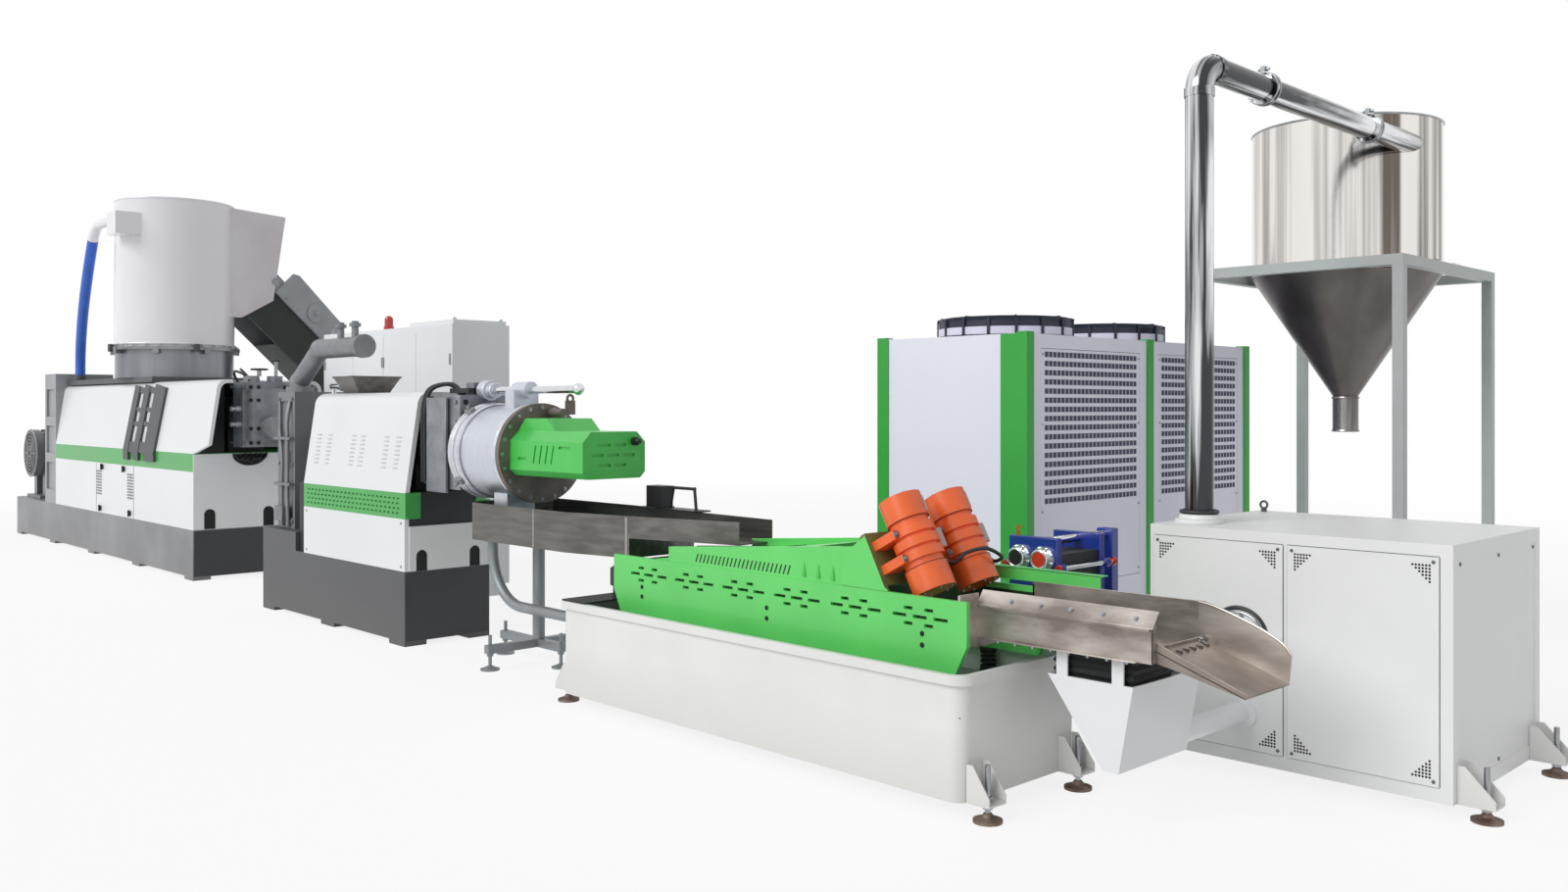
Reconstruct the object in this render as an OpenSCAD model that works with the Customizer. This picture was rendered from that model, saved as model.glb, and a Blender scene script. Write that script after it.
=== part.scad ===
// Two-stage plastic recycling extruder with its pelletising line, laid out along +X.
// Every machine faces -Y, the floor is z = 0, and all sizes are in millimetres.

/* [Layout along the line] */
// Left end of the compactor extruder base
ext1_x = -8400; // [-8600:10:-8200]
// Front face of the compactor extruder
ext1_y = -2230; // [-2300:10:-2100]
// Left end of the second extruder base
ext2_x = -220; // [-300:10:-120]
// Front face of the second extruder
ext2_y = -2370; // [-2420:10:-2320]
// Distance of the control cabinet from the first extruder
control_gap = 290; // [250:10:400]
// Front face of the control cabinet
control_y = -1120; // [-1200:10:-1000]
// Left end of the water trough
trough_x = 2800; // [2760:10:2840]
// Left wall of the water tank
tank_x = 4245; // [4220:5:4270]
// Front wall of the water tank
tank_y = -2550; // [-2600:5:-2500]
// Left side of the chiller
chiller_x = 4690; // [4600:10:4720]
// Front face of the chiller
chiller_y = -514; // [-550:2:-450]
// Left side of the plate heat exchanger
exchanger_x = 6334; // [6200:2:6400]
// Front face of the plate heat exchanger
exchanger_y = -1400; // [-1450:5:-1350]
// Left side of the blower cabinet
blower_x = 6954; // [6900:2:7000]
// Front face of the blower cabinet
blower_y = -1165; // [-1200:5:-1120]
// Left side of the silo frame
silo_x = 5985; // [5950:5:6020]
// Front side of the silo frame
silo_y = 1030; // [980:5:1080]

/* [Compactor extruder] */
// Length of the base
ext1_base_l = 6210; // [6000:10:6400]
// Width of the base and housing
ext1_w = 1300; // [1200:10:1400]
// Height of the base with its pads
ext1_base_h = 466; // [420:2:520]
// Distance from the base end to the housing
ext1_house_in = 1740; // [1650:10:1800]
// Height of the white lower panel
ext1_panel_h = 534; // [480:2:580]
// Height of the green stripe
ext1_stripe_h = 168; // [120:2:200]
// Height of the upper cover
ext1_cover_h = 682; // [620:2:740]
// Length of cover beyond the housing end
ext1_cover_over = 350; // [200:10:380]
// Width of the gearbox column along the line
ext1_column_l = 450; // [350:10:500]
// Radius of the drive motor
ext1_motor_r = 290; // [240:5:320]
// Length of the screen changer block
changer1_l = 400; // [340:10:460]
// Width of the screen changer block
changer1_w = 460; // [400:10:520]
// Height of the screen changer block
changer1_h = 600; // [540:10:620]
// Radius of the extruder barrel with its heaters
barrel_r = 170; // [120:5:190]

/* [Compactor drum] */
// Outer radius of the drum
drum_r = 587; // [560:1:600]
// Distance of the drum axis from the base end
drum_in = 3940; // [3900:10:4000]
// Height of the grey neck under the drum
neck_h = 320; // [260:5:380]
// Height of the white drum
drum_h = 1550; // [1450:10:1600]
// Wall thickness of the drum
drum_t = 12; // [8:1:20]
// Width of the feed chute
chute_w = 800; // [700:10:850]

/* [Belt conveyor] */
// Slope of the belt in degrees
belt_slope = 44; // [42:1:46]
// Distance between the two pulleys
belt_l = 3500; // [3300:10:3560]
// Width of the belt
belt_w = 560; // [500:10:600]
// Radius of the pulleys
pulley_r = 95; // [80:1:110]

/* [Control cabinet] */
// Length of the control cabinet
control_l = 2440; // [2300:10:2500]
// Depth of the control cabinet
control_d = 540; // [500:10:600]
// Height of the control cabinet
control_h = 2290; // [2200:10:2350]

/* [Second extruder] */
// Length of the base
ext2_base_l = 2360; // [2300:10:2400]
// Width of the base
ext2_w = 640; // [600:10:700]
// Height of the base with its pads
ext2_base_h = 500; // [460:2:540]
// Height of the raised left end of the base
ext2_step_h = 644; // [600:2:680]
// Length of the raised left end
ext2_step_l = 620; // [580:10:660]
// Distance from the base end to the white panels
ext2_house_in = 770; // [740:10:800]
// Height of the white lower panel
ext2_panel_h = 350; // [320:2:380]
// Height of the green stripe
ext2_stripe_h = 175; // [150:1:200]
// Height of the upper cover
ext2_cover_h = 675; // [640:1:700]
// Height of the grey gearbox column above the base
ext2_column_h = 1073; // [1000:1:1120]
// Radius of the degassing pipe
vent_r = 75; // [60:1:80]
// Length of the second screen changer
changer2_l = 500; // [480:5:510]
// Height of the feed hopper on the cover
hopper_h = 120; // [100:1:150]

/* [Cutter head] */
// Radius of the water chamber
chamber_r = 304; // [290:1:310]
// Length of the water chamber
chamber_l = 560; // [500:5:580]
// Height of the cutter axis
cutter_z = 1314; // [1304:1:1340]
// Gap between the die and the chamber
die_gap = 5; // [5:1:8]
// Diameter of the guide rod
rod_d = 48; // [40:1:60]
// Height of the guide rod
rod_z = 1705; // [1700:1:1720]
// Running clearance of the hanger on the rod
rod_clear = 0.05; // [0.02:0.01:0.1]
// Travel of the cutter head along the rod
cutter_travel = 450; // [300:10:460]
// Length of the green hood
hood_l = 760; // [700:10:800]
// Width of the green hood
hood_w = 440; // [400:5:480]

/* [Water trough] */
// Height of the trough rim
trough_z = 1000; // [980:1:1000]
// Depth of the trough
trough_depth = 230; // [200:1:250]
// Wall thickness of the trough
trough_t = 6; // [4:1:10]
// Width of the round end of the trough
trough_w = 600; // [560:5:640]
// Width of the trough outlet
outlet_w = 240; // [200:5:280]
// Diameter of the stand column
stand_d = 76; // [60:1:90]

/* [Water tank and vibrating screen] */
// Length of the tank
tank_l = 2700; // [2600:10:2760]
// Width of the tank
tank_w = 800; // [780:5:840]
// Height of the tank floor above the ground
tank_z = 70; // [60:1:90]
// Height of the tank rim
tank_h = 565; // [540:1:580]
// Wall thickness of the tank
tank_t = 8; // [6:1:12]
// Width of the rim lip
rim_w = 20; // [12:1:30]
// Distance from the tank end to the screen panels
screen_in = 255; // [250:5:280]
// Length of the green screen panels
screen_l = 2350; // [2300:10:2380]
// Height of the green near panel
screen_h = 295; // [280:1:310]
// Distance between the two screen panels
screen_w = 550; // [530:5:570]
// Thickness of the screen panels
screen_t = 20; // [15:1:25]
// Radius of each vibrating motor
shaker_r = 95; // [85:1:100]
// Length of each vibrating motor
shaker_l = 430; // [400:5:450]
// Slope of the motor plate in degrees
shaker_slope = 62; // [58:1:66]
// Width of the discharge trough
discharge_w = 400; // [380:5:420]
// Length of the discharge trough beyond the screen
discharge_l = 740; // [700:10:780]

/* [Chiller and heat exchanger] */
// Width of the chiller
chiller_w = 1120; // [1080:10:1180]
// Depth of the chiller
chiller_d = 2664; // [2600:4:2700]
// Height of the chiller casing
chiller_h = 2015; // [1950:5:2080]
// Width of the green corner posts
post_w = 70; // [60:1:90]
// Radius of the fan cowls
fan_r = 410; // [380:5:440]
// Height of the fan cowls
fan_h = 120; // [100:1:140]
// Width of the exchanger plates
exchanger_w = 273; // [250:1:300]
// Height of the exchanger frame
exchanger_h = 985; // [940:5:1020]

/* [Blower cabinet and silo] */
// Length of the blower cabinet
blower_l = 1296; // [1250:2:1340]
// Depth of the blower cabinet
blower_d = 1075; // [1000:5:1100]
// Height of the blower cabinet top
blower_h = 1065; // [1040:1:1080]
// Height of the cabinet floor above the ground
blower_z = 60; // [50:1:80]
// Radius of the conveying pipe
pipe_r = 64; // [55:1:70]
// Height of the conveying pipe run above the silo frame
pipe_rise = 716; // [680:2:750]
// Length of the silo frame along the line
frame_l = 1273; // [1260:1:1300]
// Depth of the silo frame
frame_d = 1540; // [1500:10:1580]
// Height of the silo frame
frame_h = 2464; // [2400:2:2500]
// Side of the square silo frame tubes
frame_t = 60; // [50:1:70]
// Outer radius of the silo
silo_r = 560; // [540:1:565]
// Height of the silo shell above the frame
silo_h = 890; // [840:5:920]
// Height of the silo cone
cone_h = 760; // [700:5:800]
// Wall thickness of the silo
silo_t = 8; // [5:1:12]

/* [Hidden] */
$fn = 64;
fine = 240;                // facets of large curved cuts
eps = 0.3;                 // gap between curved faces that meet
bite = 1;                  // overlap of shapes fused in one piece
pad_h = 30;                // floor pads under the extruder bases
plate_t = 12;              // light grey end plates
skin_t = 30;               // thickness of covers and side panels
lean = 100;                // how far the covers lean inwards
cover_round = 90;
wing = 230;                // width of the cover wing beyond a housing end

// Compactor extruder, left to right
ext1_house_x = ext1_x + ext1_house_in;
ext1_end_x = ext1_x + ext1_base_l;
ext1_house_l = ext1_end_x - ext1_house_x;
ext1_mid_y = ext1_y + ext1_w / 2;
ext1_panel_z = ext1_base_h + ext1_panel_h;
ext1_stripe_z = ext1_panel_z + ext1_stripe_h;
ext1_top_z = ext1_stripe_z + ext1_cover_h;
ext1_axis_y = ext1_mid_y - 100;
ext1_axis_z = ext1_stripe_z + 340;
control_x = ext1_end_x + control_gap;
column1_x = ext1_house_x - ext1_column_l;
column1_h = 1520;
platform_t = 55;
platform_z = ext1_top_z + platform_t;
platform_l = 2960;
changer1_x = ext1_end_x + plate_t + 18;
drum_x = ext1_x + drum_in;
drum_y = ext1_mid_y - 50;
drum_z = platform_z + neck_h;
drum_top = drum_z + drum_h;
lid_t = 15;
flange_r = drum_r + 55;
flange_t = 30;
motor1_x = ext1_x + 480;
motor1_l = 620;
motor1_z = ext1_base_h + 560;
chute_y = drum_y + 1034;
chute_top = drum_top - 70;
chute_low = drum_z + 365;

// Suction pipe at the drum and the blue hose below it
duct_r = 52;
duct_y = drum_y - drum_r - 58;
duct_z = drum_top - 235;
duct_x = drum_x + 230;
duct_box = [280, 230];
duct_end_x = duct_x - 570;
duct_bend_r = 300;
duct_bend = 60;
socket_r = 72;
socket_h = 60;
hose_r = 55;
// Curve of the hose, from the duct end down to its socket on the platform
hose_gap = 4;
hose_pull = 620;
hose_drop = 470;
hose_steps = 20;
duct_way = [-cos(duct_bend), 0, -sin(duct_bend)];
duct_end = [duct_end_x - duct_bend_r * sin(duct_bend), duct_y,
    duct_z - duct_bend_r * (1 - cos(duct_bend))];
hose_start = duct_end + hose_gap * duct_way;
hose_foot = [ext1_house_x + 300, ext1_y + 180, platform_z + 25];
hose_neck = hose_foot + [0, 0, 90];
hose_curve = [hose_start, hose_start + hose_pull * duct_way, hose_neck + [0, 0, hose_drop], hose_neck];
hose_route = concat([for (i = [0:hose_steps]) bezier(hose_curve, i / hose_steps)], [hose_foot]);

// Belt conveyor, which runs down along +Y from the chute
belt_x = drum_x + 20;
belt_y = chute_y - 110;
belt_z = drum_z + 760;
belt_mouth = belt_z + 190;
belt_t = 10;
rail_h = 150;
rail_t = 40;
rail_in = belt_w / 2 + 20;
guard_d = 475;
guard_t = 8;

// Second extruder
ext2_end_x = ext2_x + ext2_base_l;
ext2_house_x = ext2_x + ext2_house_in;
ext2_house_l = ext2_end_x - ext2_house_x;
ext2_mid_y = ext2_y + ext2_w / 2;
ext2_panel_z = ext2_base_h + ext2_panel_h;
ext2_stripe_z = ext2_panel_z + ext2_stripe_h;
ext2_top_z = ext2_stripe_z + ext2_cover_h;
column2_x = ext2_x + 50;
column2_l = 320;
column2_top = ext2_step_h + ext2_column_h;
changer2_x = ext2_end_x + plate_t;
changer2_w = 400;
changer2_h = 612;
changer2_z = cutter_z - 250;
die_l = 38;
die_r = 250;
vent_y = ext2_y + 210;
vent_z = column2_top + 330;

// Cutter head
cutter_y = ext2_mid_y;
chamber_x = changer2_x + changer2_l + die_l + die_gap;
chamber_end = chamber_x + chamber_l;
disc_l = 40;
hood_x = chamber_end + disc_l;
hood_h = 270;
hood_z = cutter_z - 127;
hanger_x = chamber_x + 320;
hanger_l = 100;
hanger_r = 52;
rod_lug_l = 100;
guide_x = changer2_x + changer2_l - 165;
rod_end = hanger_x + hanger_l + cutter_travel + 120;

// Water trough
trough_y = cutter_y + 50;
trough_l = 2280;
trough_low = trough_z - trough_depth;
outlet_y = trough_y + 100;
trough_round_l = 1100;
outlet_l = 700;
outlet_depth = 120;
stand_x = trough_x + 380;
stand_beam = 50;
stand_z = 150;
drain_r = 32;
drain_x = trough_x + 170;
drain_y = trough_y - 200;
drain_bend = 330;

// Water tank and vibrating screen
tank_end_x = tank_x + tank_l;
rim_h = 40;
tank_round = 60;
screen_x = tank_x + screen_in;
screen_end = screen_x + screen_l;
screen_z = tank_h - 40;
screen_top = screen_z + screen_h;
screen_near = tank_y + 180;
screen_far = screen_near + screen_w;
screen_mid = screen_near + screen_w / 2;
deck_t = 20;
deck_z0 = screen_top - 60;
deck_z1 = screen_top + 120;
deck_l = 1390;
spring_r = 40;
spring_low = 430;
shaker_plate_x = screen_end - 495;
shaker_plate_z = screen_top + 130;
shaker_plate_l = 240;
shaker_plate_t = 25;
shaker_off = 132;
shaker_gap = 300;
discharge_z = screen_z + 135;
discharge_h = 190;
discharge_t = 8;
discharge_mid = screen_mid + 45;
suction_in = 280;
suction_z = 280;
pump_r = 110;
exchanger_head = 40;
exchanger_pack = 330;
pellet_x = screen_end + 260;
pellet_l = 376;
pellet_w = 510;
pellet_z = 554;
pellet_low = 220;
pellet_y = discharge_mid - discharge_w / 2 + 40;

// Blower cabinet and silo
blower_end_x = blower_x + blower_l;
door_t = 6;
pipe_x = blower_x + 136;
pipe_y = blower_y + 198;
pipe_z = frame_h + pipe_rise;
pipe_bend = 130;
seam_l = 20;
seam_t = 5;
silo_mid_x = silo_x + frame_l / 2;
silo_mid_y = silo_y + frame_d / 2;
silo_low = frame_h - 34;
silo_top = frame_h + silo_h;
pipe_end_y = silo_mid_y - 110;
stub_r = 76;
stub_h = 230;
foot_r = 58;
foot_in = 90;

// Extrudes a (y, z) outline along X
module along_x(x0, len) {
    translate([x0, 0, 0])
        rotate([90, 0, 90])
            linear_extrude(len)
                children();
}

// Extrudes an (x, z) outline along Y
module along_y(y0, len) {
    translate([0, y0 + len, 0])
        rotate([90, 0, 0])
            linear_extrude(len)
                children();
}

module block(p, s) {
    translate(p)
        cube(s);
}

module rod(p, q, r) {
    d = q - p;
    len = norm(d);
    translate(p)
        rotate([0, acos(d[2] / len), atan2(d[1], d[0])])
            cylinder(h = len, r = r);
}

module rod_x(p, len, r) {
    rod(p, p + [len, 0, 0], r);
}

module rod_y(p, len, r) {
    rod(p, p + [0, len, 0], r);
}

// Rectangle with round corners, its lower left corner at the origin
module round_rect(w, h, r) {
    translate([r, 0])
        square([w - 2 * r, h]);
    translate([0, r])
        square([w, h - 2 * r]);
    for (x = [r, w - r], y = [r, h - r])
        translate([x, y])
            circle(r);
}

// One leaning side of a cover, from the rim up round the top corner
function cover_side(h, r, n = 8) =
    let (a = atan2(h, lean), t = r * tan(a / 2))
    let (s = [lean - t * cos(a), h - t * sin(a)])
    let (c = s + r * [sin(a), -cos(a)])
    [for (i = [0:n]) c + r * [-sin(a * (1 - i / n)), cos(a * (1 - i / n))]];

module cover_outline(w, h, r) {
    side = cover_side(h, r);
    last = len(side) - 1;
    far = [for (i = [0:last]) [w - side[last - i][0], side[last - i][1]]];
    polygon(concat([[0, 0]], side, far, [[w, 0]]));
}

// Open cover shell that overhangs the housing end, its lower corner cut back
module cover_shell(x0, len, over, y0, w, z0, h) {
    cut = over * 0.25;
    difference() {
        translate([0, y0, z0])
            along_x(x0, len + over)
                cover_outline(w, h, cover_round);
        translate([0, y0 + skin_t, z0 - bite])
            along_x(x0 + skin_t, len + over)
                cover_outline(w - 2 * skin_t, h - skin_t + bite, cover_round - skin_t / 2);
        along_y(y0 - bite, w + 2 * bite)
            polygon([[x0 + len, z0 - bite], [x0 + len + over + bite, z0 - bite],
                [x0 + len + over + bite, z0 + cut], [x0 + len, z0]]);
        if (over > wing)
            block([x0 + len, y0 + wing, z0 - bite], [over + bite, w, h + 2 * bite]);
    }
}

// Plate with two arched cable slots at its lower edge
module end_plate(x, y0, w, z0, h, slot_w, slot_h, slot_in) {
    difference() {
        block([x, y0, z0], [plate_t, w, h]);
        for (y = [y0 + slot_in, y0 + w - slot_in]) {
            block([x - bite, y - slot_w / 2, z0 - bite],
                [plate_t + 2 * bite, slot_w, slot_h - slot_w / 2 + bite]);
            rod_x([x - bite, y, z0 + slot_h - slot_w / 2], plate_t + 2 * bite, slot_w / 2);
        }
    }
}

module floor_pads(x0, len, y0, w, n) {
    pad = [220, 160, pad_h + bite];
    for (i = [0:n - 1], y = [y0, y0 + w - pad[1]])
        block([x0 + i * (len - pad[0]) / (n - 1), y, 0], pad);
}

// Levelling foot: disc, screw and nut under a bracket
module leveller(x, y, plate_z) {
    translate([x, y, 0]) {
        cylinder(h = 10, r = foot_r);
        translate([0, 0, 9])
            cylinder(h = 16, r1 = foot_r - 6, r2 = 20);
        cylinder(h = plate_z + 110, r = 11);
        translate([0, 0, plate_z - 18])
            cylinder(h = 18 + bite, r = 20, $fn = 6);
    }
}

module ext1_base() {
    color("#5f6163") {
        block([ext1_x, ext1_y, pad_h], [ext1_base_l, ext1_w, ext1_base_h - pad_h]);
        floor_pads(ext1_x, ext1_base_l, ext1_y, ext1_w, 5);
    }
}

module ext1_lower_panel() {
    color("#eef0f2")
        block([ext1_house_x, ext1_y, ext1_base_h], [ext1_house_l, ext1_w, ext1_panel_h]);
}

module ext1_stripe() {
    color("#63bf68")
        block([ext1_house_x, ext1_y, ext1_panel_z], [ext1_house_l, ext1_w, ext1_stripe_h]);
}

module ext1_cover() {
    color("#f3f4f6")
        cover_shell(ext1_house_x, ext1_house_l, ext1_cover_over, ext1_y, ext1_w, ext1_stripe_z,
            ext1_cover_h);
}

// Barrel with heater bands on two saddles, ending in a flange at the screen changer
module barrel(x0, x1, y, z, floor_z, r) {
    bands = floor((x1 - x0) / 420);
    step = (x1 - x0) / bands;
    rod_x([x0, y, z], x1 - x0, r);
    for (i = [0:bands - 1])
        rod_x([x0 + i * step + 60, y, z], step - 120, r + 25);
    rod_x([x1 - 45, y, z], 45, r + 60);
    for (x = [x0 + 200, x1 - 320])
        block([x, y - r, floor_z], [120, 2 * r, z - floor_z]);
}

module ext1_barrel() {
    color("#2b2d30")
        barrel(ext1_house_x + 120, changer1_x, ext1_axis_y, ext1_axis_z, ext1_stripe_z, barrel_r);
}

module ext1_end_plate() {
    color("#c3c5c6")
        end_plate(ext1_end_x, ext1_y, 840, ext1_base_h, ext1_stripe_z - ext1_base_h - 6, 106, 190, 148);
}

// Slanted grille of three bars with cross pieces, laid over cover and stripe
module ext1_vent_bars() {
    pitch = 310;
    widths = [150, 150, 300];
    bar_t = 24;
    rung_t = 14;
    bar_gap = 1;
    foot_h = 105;
    bar_l = 670;
    tilt = 7;
    rungs = [[0, 110], [275, 40], [420, 40], [610, 60]];
    rung_in = 5;
    a = atan2(lean, ext1_cover_h);
    color("#55585b")
        translate([ext1_house_x + 2540, ext1_y - bar_gap - bar_t, ext1_stripe_z - foot_h])
            for (i = [0:2])
                translate([i * pitch, 0, 0]) {
                    cube([widths[i], bar_t, foot_h]);
                    translate([0, 0, foot_h - bite])
                        rotate([-a, 0, 0])
                            rotate([0, tilt, 0]) {
                                cube([widths[i], bar_t, bar_l]);
                                if (i < 2)
                                    for (r = rungs)
                                        translate([widths[i] - bite, rung_in, r[0]])
                                            cube([pitch * cos(tilt) - widths[i] + 2 * bite, rung_t, r[1]]);
                            }
                }
}

module ext1_gearbox() {
    w = 620;
    color("#8d8f92")
        difference() {
            block([column1_x, ext1_y, ext1_base_h], [ext1_column_l, w, column1_h]);
            for (i = [0:2])
                block([column1_x + 60, ext1_y - bite, ext1_base_h + 160 + i * 430],
                    [ext1_column_l - 120, 25, 320]);
        }
}

module ext1_motor() {
    y0 = ext1_y + 30;
    color("#7d8085") {
        rod_y([motor1_x, y0 + 90, motor1_z], motor1_l - 140, ext1_motor_r - 20);
        rod_y([motor1_x, y0, motor1_z], 91, ext1_motor_r);
        rod_y([motor1_x, y0 + motor1_l - 51, motor1_z], 50, ext1_motor_r - 40);
        rod_y([motor1_x, y0 + motor1_l - 2, motor1_z], 90, 45);
        for (i = [0:11])
            translate([motor1_x, y0 + 120, motor1_z])
                rotate([0, i * 30, 0])
                    block([-8, 0, 0], [16, motor1_l - 220, ext1_motor_r]);
        for (s = [-1, 1])
            block([motor1_x + s * 190 - 60, y0 + 110, ext1_base_h + 40], [120, motor1_l - 200, 360]);
        block([motor1_x - 300, y0 + 40, ext1_base_h], [600, motor1_l - 60, 41]);
    }
}

module ext1_screen_changer() {
    y0 = ext1_axis_y - changer1_w / 2;
    z0 = ext1_axis_z - changer1_h / 2 + 20;
    color("#6e7175") {
        block([changer1_x, y0 + 30, z0 + 30], [90, changer1_w - 60, changer1_h - 60]);
        block([changer1_x + 89, y0, z0], [changer1_l - 178, changer1_w, changer1_h]);
        block([changer1_x + changer1_l - 90, y0 + 50, z0 + 60], [90, changer1_w - 100, changer1_h - 120]);
        for (y = [y0 + 120, y0 + changer1_w - 120])
            translate([changer1_x + changer1_l / 2, y, z0 + changer1_h - bite])
                cylinder(h = 60, r = 70);
        rod_x([changer1_x + changer1_l - bite, ext1_axis_y, ext1_axis_z - 100], 130, 105);
    }
}

module compactor_platform() {
    w = ext1_w - 2 * lean - 20;
    color("#3d4043") {
        difference() {
            block([ext1_house_x + 40, ext1_mid_y - w / 2, ext1_top_z], [platform_l, w, platform_t]);
            block([ext1_house_x + 200, ext1_mid_y - w / 2 + 140, ext1_top_z - bite],
                [1000, w - 280, platform_t + 2 * bite]);
        }
        difference() {
            translate([hose_foot[0], hose_foot[1], platform_z - bite])
                cylinder(h = socket_h + bite, r = socket_r);
            translate([hose_foot[0], hose_foot[1], platform_z + 20])
                cylinder(h = socket_h, r = hose_r + eps);
        }
    }
}

module compactor_neck() {
    color("#7b7d80") {
        translate([drum_x, drum_y, platform_z])
            difference() {
                cylinder(h = neck_h - bite, r = drum_r - 8);
                translate([0, 0, 25])
                    cylinder(h = neck_h, r = drum_r - 8 - drum_t);
            }
        translate([drum_x, drum_y, drum_z - flange_t])
            difference() {
                cylinder(h = flange_t, r = flange_r);
                translate([0, 0, -bite])
                    cylinder(h = flange_t + 2 * bite, r = drum_r - 8 - drum_t);
            }
        for (i = [0:7])
            translate([drum_x, drum_y, drum_z - 70])
                rotate(i * 45 + 10)
                    block([drum_r - 12, -30, 0], [72, 60, 70]);
    }
}

module compactor_drum() {
    win = chute_w - 120;
    color("#e9e9eb")
        difference() {
            translate([drum_x, drum_y, drum_z])
                difference() {
                    cylinder(h = drum_h - lid_t, r = drum_r);
                    translate([0, 0, -bite])
                        cylinder(h = drum_h, r = drum_r - drum_t);
                }
            block([drum_x - win / 2, drum_y + 200, chute_low + 260],
                [win, drum_r, chute_top - chute_low - 380]);
        }
}

module compactor_lid() {
    color("#e4e4e6")
        translate([drum_x, drum_y, drum_top - lid_t]) {
            cylinder(h = lid_t, r = drum_r);
            translate([0, 0, lid_t - bite])
                cylinder(h = 40, r = 180);
        }
}

// Hood over the belt head, open towards the drum and downwards
module feed_chute() {
    t = 10;
    y1 = drum_y + 350;
    outline = [[y1, chute_low - 20], [chute_y - 480, chute_low - 20], [chute_y - 137, chute_low + 180],
        [chute_y, chute_top], [y1, chute_top + 50]];
    color("#dfdde0")
        difference() {
            along_x(drum_x - chute_w / 2, chute_w)
                polygon(outline);
            along_x(drum_x - chute_w / 2 + t, chute_w - 2 * t)
                polygon([[y1, chute_low - 60], [chute_y + t, chute_low - 60], [chute_y + t, belt_mouth],
                    [chute_y - 90, belt_mouth], [chute_y - t - 2, chute_top - t],
                        [y1, chute_top + 50 - t]]);
            translate([drum_x, drum_y, chute_low - 100])
                cylinder(h = drum_h, r = drum_r + eps, $fn = fine);
        }
}

module suction_duct() {
    color("#e6e6e8") {
        difference() {
            block([duct_x - duct_box[0] / 2, duct_y - 60, duct_z + 65 - duct_box[1]],
                [duct_box[0], 260, duct_box[1]]);
            translate([drum_x, drum_y, duct_z - 300])
                cylinder(h = 600, r = drum_r + eps, $fn = fine);
        }
        rod([duct_x - duct_box[0] / 2 + bite, duct_y, duct_z], [duct_end_x, duct_y, duct_z], duct_r);
        translate([duct_end_x, duct_y, duct_z - duct_bend_r])
            rotate([90, -90, 0])
                rotate_extrude(angle = duct_bend, $fn = 96)
                    translate([duct_bend_r, 0])
                        circle(duct_r);
    }
}

// Unit direction of a route at point i
function bezier(p, t) =
    pow(1 - t, 3) * p[0] + 3 * t * pow(1 - t, 2) * p[1] + 3 * t * t * (1 - t) * p[2] + pow(t, 3) * p[3];

function heading(r, i) =
    let (a = r[max(i - 1, 0)], b = r[min(i + 1, len(r) - 1)])
    (b - a) / norm(b - a);

// Tube swept along a route with level cross axes
module swept_tube(route, r, sides) {
    n = len(route);
    pts = [for (i = [0:n - 1])
        let (d = heading(route, i))
        let (u = cross(d, [0, 1, 0]) / norm(cross(d, [0, 1, 0])))
        let (v = cross(d, u))
        for (k = [0:sides - 1])
            route[i] + r * (cos(k * 360 / sides) * u + sin(k * 360 / sides) * v)];
    walls = [for (i = [0:n - 2], k = [0:sides - 1])
        let (m = (k + 1) % sides)
        [i * sides + k, i * sides + m, (i + 1) * sides + m, (i + 1) * sides + k]];
    first = [for (k = [0:sides - 1]) sides - 1 - k];
    final = [for (k = [0:sides - 1]) (n - 1) * sides + k];
    polyhedron(pts, concat([first], walls, [final]), convexity = 4);
}

module suction_hose() {
    color("#2a5cc0")
        swept_tube(hose_route, hose_r, 12);
}

module at_belt() {
    translate([belt_x, belt_y, belt_z])
        rotate([-belt_slope, 0, 0])
            children();
}

// Channel rails with rollers, pulleys and a guard, on two pairs of legs
module conveyor_frame() {
    web = 12;
    lip = 14;
    over = 120;
    leg = 60;
    leg_x = rail_in + web + 8;
    color("#8b8e8f") {
        at_belt() {
            for (s = [-1, 1])
                translate([s * (rail_in + rail_t / 2), -over, 0])
                    difference() {
                        block([-rail_t / 2, 0, -rail_h / 2], [rail_t, belt_l + 2 * over, rail_h]);
                        block([s * web - rail_t / 2, -bite, lip - rail_h / 2],
                            [rail_t, belt_l + 2 * over + 2 * bite, rail_h - 2 * lip]);
                    }
            for (y = [0, belt_l])
                rod_x([-belt_w / 2, y, 0], belt_w, pulley_r);
            for (y = [0, belt_l])
                rod_x([-rail_in - 3, y, 0], 2 * rail_in + 6, 25);
            for (i = [1:4])
                rod_x([-rail_in - 3, i * belt_l / 5, 0], 2 * rail_in + 6, 30);
            block([-rail_in - 5, 500, 3 - guard_d], [2 * rail_in + 10, 1500, guard_t]);
            for (s = [-1, 1])
                block([s * (rail_in + 6) - guard_t / 2, 80, -guard_d],
                    [guard_t, 1930, guard_d + lip / 2 - rail_h / 2]);
        }
        for (s = [-1, 1], k = [0.3, 0.86])
            block([belt_x + (s > 0 ? leg_x : -leg_x - leg),
                belt_y + k * belt_l * cos(belt_slope) - leg / 2, 0],
                [leg, leg, belt_z - k * belt_l * sin(belt_slope)]);
    }
}

module racetrack(len, r) {
    circle(r);
    translate([len, 0])
        circle(r);
    translate([0, -r])
        square([len, 2 * r]);
}

module conveyor_belt() {
    color("#17181a")
        at_belt()
            translate([-belt_w / 2, 0, 0])
                rotate([90, 0, 90])
                    linear_extrude(belt_w)
                        difference() {
                            racetrack(belt_l, pulley_r + eps + belt_t);
                            racetrack(belt_l, pulley_r + eps);
                        }
}

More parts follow.
